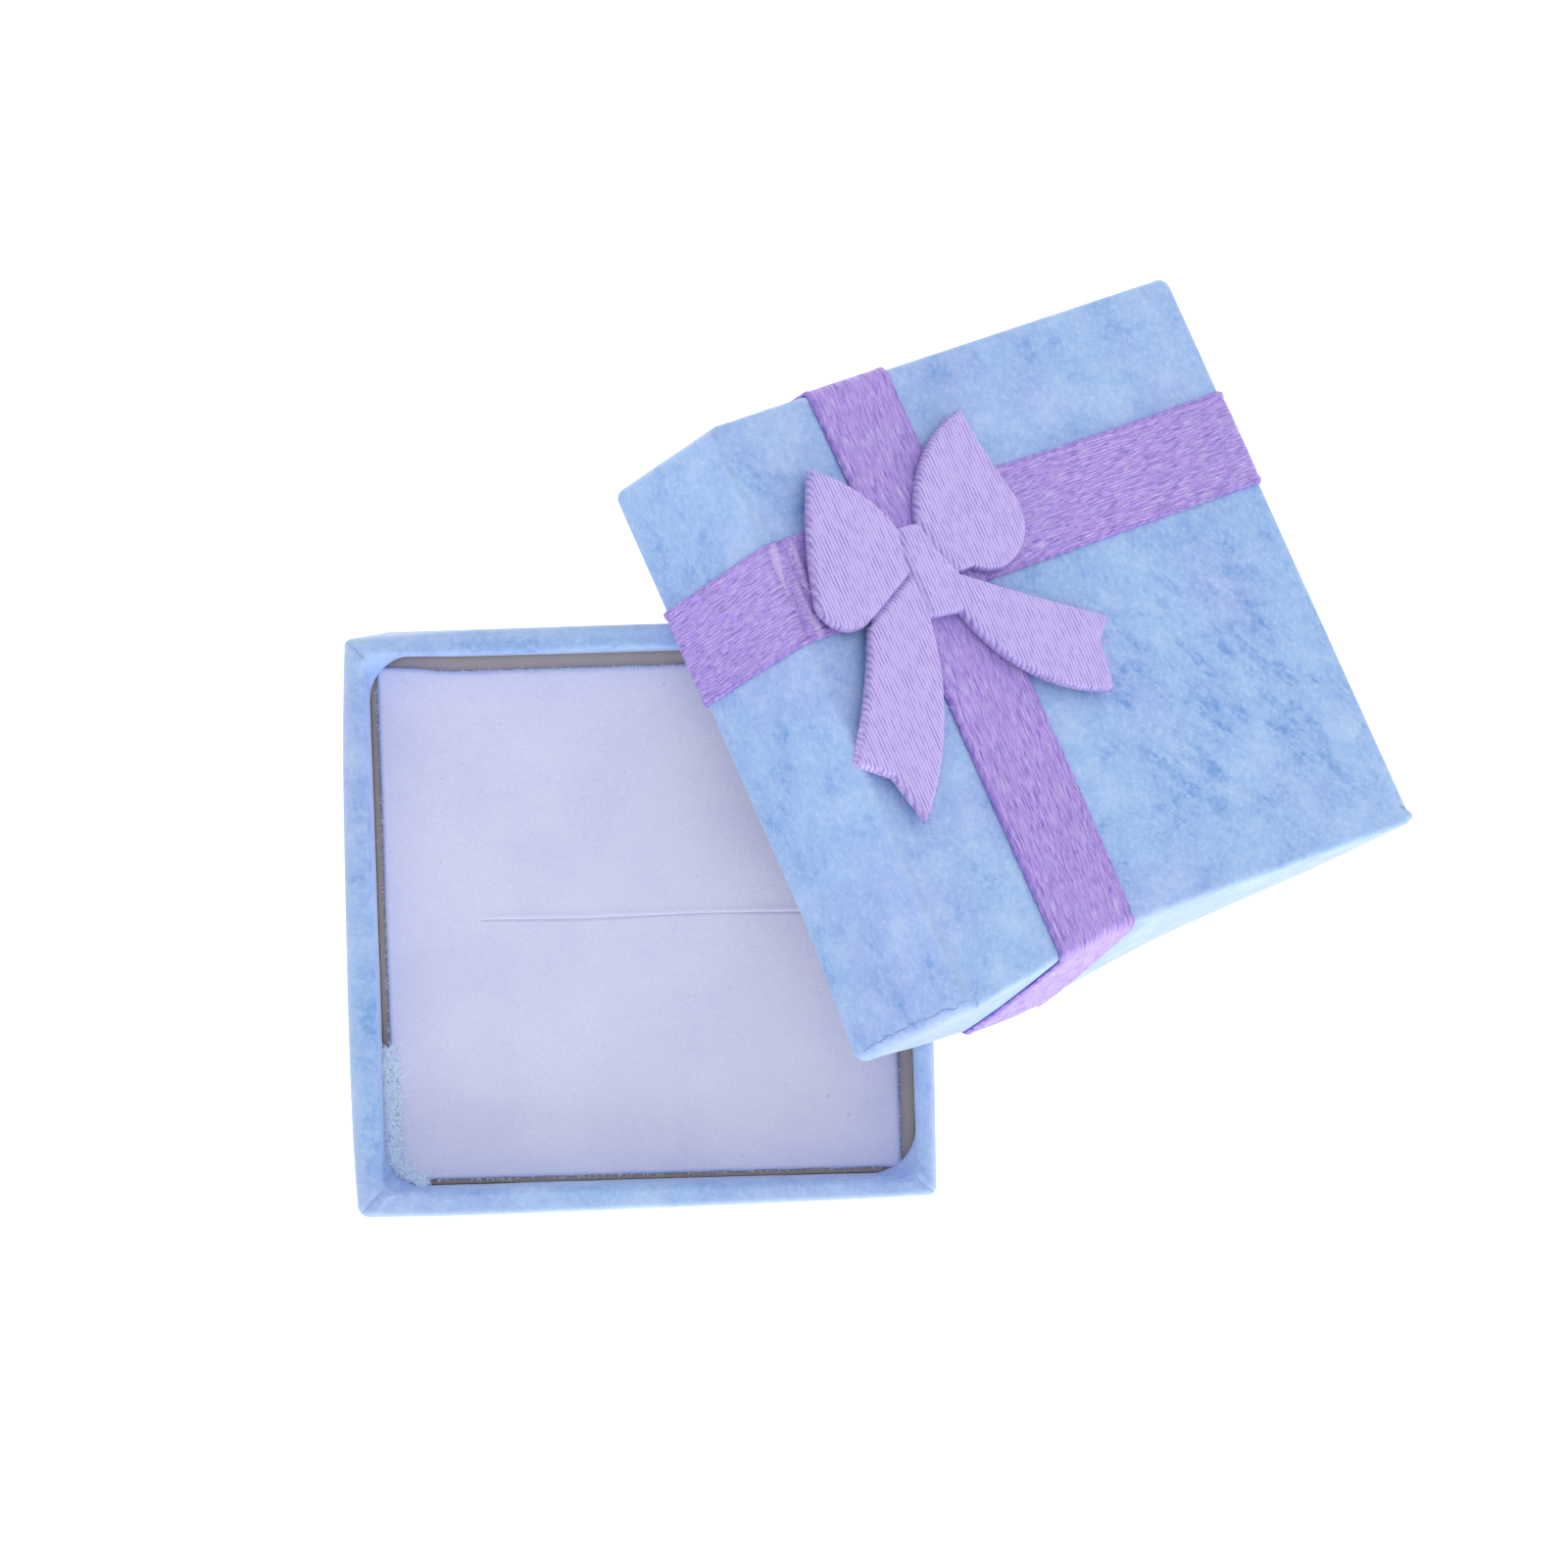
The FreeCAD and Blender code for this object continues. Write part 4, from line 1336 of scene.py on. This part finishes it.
    def fray(self, ring: Array, knot: Array, low: float) -> None:
        """Loose threads that stand out from the cut edge, more of them at the tips."""
        rng = np.random.default_rng(29)
        nxt = np.roll(ring, -1, 0)
        out = np.stack([(nxt - ring)[:, 1], -(nxt - ring)[:, 0]], 1)
        out /= np.linalg.norm(out, axis=1, keepdims=True)
        reach = np.linalg.norm(ring, axis=1)
        chance = smooth(3.0, 12.0, reach) + 0.05
        count = 420
        picks = rng.choice(len(ring), count, p=chance / chance.sum())
        height = low + rng.uniform(0.05, 0.75, count)
        roots = np.column_stack([ring[picks] + knot[:2] - 0.12 * out[picks], height])
        length = rng.uniform(0.10, 0.50, (count, 1))
        runs = np.column_stack([out[picks] * length, rng.uniform(-0.05, 0.1, count)])
        runs[:, :2] += rng.normal(0.0, 0.14, (count, 2))
        curls = rng.normal(0.0, 0.11, (count, 3))
        strays = np.array(self.strays)
        above = np.full((len(strays), 1), low + 0.55)
        roots = np.vstack([roots, np.hstack([strays[:, :2] + knot[:2], above])])
        runs = np.vstack([runs, np.hstack([strays[:, 2:4], 0.0 * above])])
        curls = np.vstack([curls, np.hstack([strays[:, 4:], 0.0 * above + 0.1])])
        points, faces = fibre_mesh(roots, runs, curls, 0.032, 7)
        Piece("bow_frayed_threads", "lid", Slot.SATIN).build(self.place, points, faces)


@dataclass(frozen=True)
class Lid:
    """The upper half of the box, with its ribbons and bow."""

    place: Place

    def make(self) -> None:
        """Builds the wrap, board, tapes, ribbons and bow."""
        low, high = self.place.box("lid_wrap")
        size = high - low
        PaperWrap(
            Piece("lid_paper_wrap", "lid", Slot.PAPER, ("lid_wrap",)),
            size[0], size[1], size[2], 8.0,
            (0.8, 0.7, 0.8, 0.65), (2.4, 2.6, 2.2, 2.5),
            (0.0, 0.0, 0.0, 0.0), (0.1, 0.1, 0.1, 0.1),
            ear=(0.0, 0.0, 0.0, 0.35), edge_light_share=0.12, mouth_up=False, streak_centre=(11.0, -8.0),
        ).make(self.place)
        board = BoardShell(Piece("lid_board_shell", "lid", Slot.BOARD, ("lid_board",)), *size)
        board.make(self.place)
        for number, corner in enumerate(("northeast", "northwest", "southwest", "southeast")):
            node = f"lid_corner_tape_{corner}"
            board.tape(self.place, number, Piece(f"lid_tape_strip_{corner}", "lid", Slot.TAPE, (node,)))
        long_low, long_high = self.place.box("ribbon_lengthwise")
        cross_low, cross_high = self.place.box("ribbon_crosswise")
        cross_x = (long_low[0] + long_high[0]) / 2
        cross_y = (cross_low[1] + cross_high[1]) / 2
        crosswise = Piece("ribbon_woven_crosswise", "lid", Slot.RIBBON, ("ribbon_crosswise",))
        lengthwise = Piece("ribbon_woven_lengthwise", "lid", Slot.RIBBON, ("ribbon_lengthwise",))
        pleats = ((cross_x - 10.3, 0.10), (cross_x - 11.1, -0.06), (cross_x - 12.0, 0.12))
        Ribbon(crosswise, False, cross_y, size[0], size[2], None, pleats=pleats).make(self.place)
        Ribbon(lengthwise, True, cross_x, size[1], size[2], cross_y).make(self.place)
        Bow(self.place).make()


# ---- studio -------------------------------------------------------------------------------


@dataclass(frozen=True)
class Studio:
    """White sweep, soft sky and the camera, almost straight above the box."""

    zenith: float = 0.74
    horizon: float = 1.22
    floor_glow: float = 1.0
    lamp_watts: float = 3.0
    lamp_at: tuple = (0.27, -0.72, 0.20)  # metres
    lens_mm: float = 123.67
    eye_mm: tuple = (20.104, 25.946, 390.571)
    tip: tuple = (-0.0478024, 0.0261674, 0.0)  # turn about X and Y, in radians
    roll: float = -0.0308545
    floor_reach: float = 3.0

    def make(self) -> None:
        """Builds the sky, floor, lamp and camera."""
        scene = bpy.context.scene
        scene.view_settings.view_transform = "Standard"
        world = bpy.data.worlds.new("soft_sky")
        scene.world = world
        world.use_nodes = True
        n = Nodes(world.node_tree)
        sky = world.node_tree.nodes["Background"]
        direction = n.add("ShaderNodeTexCoord", {}, {}, "Generated")
        up = n.part(direction, "Z").step(0.0, 1.0)
        strength = up * (self.zenith - self.horizon) + self.horizon
        world.node_tree.links.new(strength.socket, sky.inputs["Strength"])
        sky.inputs["Color"].default_value = (0.98, 0.99, 1.0, 1.0)
        self.floor()
        self.lamp()
        self.camera()

    def floor(self) -> None:
        """Wide white floor that glows a little, so that it has no shadow."""
        mesh = bpy.data.meshes.new("floor")
        below = -0.1 * MM
        signs = ((-1.0, -1.0), (1.0, -1.0), (1.0, 1.0), (-1.0, 1.0))
        corners = [(x * self.floor_reach, y * self.floor_reach, below) for x, y in signs]
        mesh.from_pydata(corners, [], [(0, 1, 2, 3)])
        glow = {"Emission_Strength": self.floor_glow, "Emission_Color": (1.0, 1.0, 1.0, 1.0)}
        white = material(start_material("white_floor"), 0.9, (0.35, 0.35, 0.35), **glow)
        mesh.materials.append(white)
        floor = bpy.data.objects.new("floor", mesh)
        bpy.context.scene.collection.objects.link(floor)

    def lamp(self) -> None:
        """Soft low lamp to the south, for the lid's south wall and the sheen of the satin."""
        light = bpy.data.lights.new("soft_lamp", "AREA")
        light.shape = "DISK"
        light.size = 0.5
        light.energy = self.lamp_watts
        lamp = bpy.data.objects.new("soft_lamp", light)
        lamp.location = self.lamp_at
        lamp.rotation_euler = (-Vector(lamp.location)).to_track_quat("-Z", "Y").to_euler()
        bpy.context.scene.collection.objects.link(lamp)

    def camera(self) -> None:
        """A long lens 39 cm up, tipped by about three degrees and rolled by about two."""
        lens = bpy.data.cameras.new("camera")
        lens.lens = self.lens_mm
        lens.sensor_width = 36.0
        lens.clip_start = 0.05
        eye = bpy.data.objects.new("camera", lens)
        tip = Vector(self.tip)
        tipped = Quaternion(tip.normalized(), tip.length).to_matrix()
        rolled = Matrix.Rotation(self.roll, 3, "Z")
        turn = (rolled @ tipped).to_4x4()
        eye.matrix_world = Matrix.Translation(Vector(self.eye_mm) * MM) @ turn
        bpy.context.scene.collection.objects.link(eye)
        bpy.context.scene.camera = eye


def main() -> None:
    """Builds every finish and sub-assembly."""
    logging.basicConfig(level=logging.INFO, format="%(name)s: %(message)s")
    MATERIALS.update({slot: finish.make() for slot, finish in FINISHES.items()})
    MATERIALS.update({finish: finish.make() for finish in (GLOWING_TORN_FLOCK, SHADED_FLOCK_BED)})
    Studio().make()
    upright = upright_place()
    Tray(upright).make()
    Cushion(upright).make()
    Lid(leaning_place("lid_board", PAPER)).make()


if __name__ == "__main__":
    main()
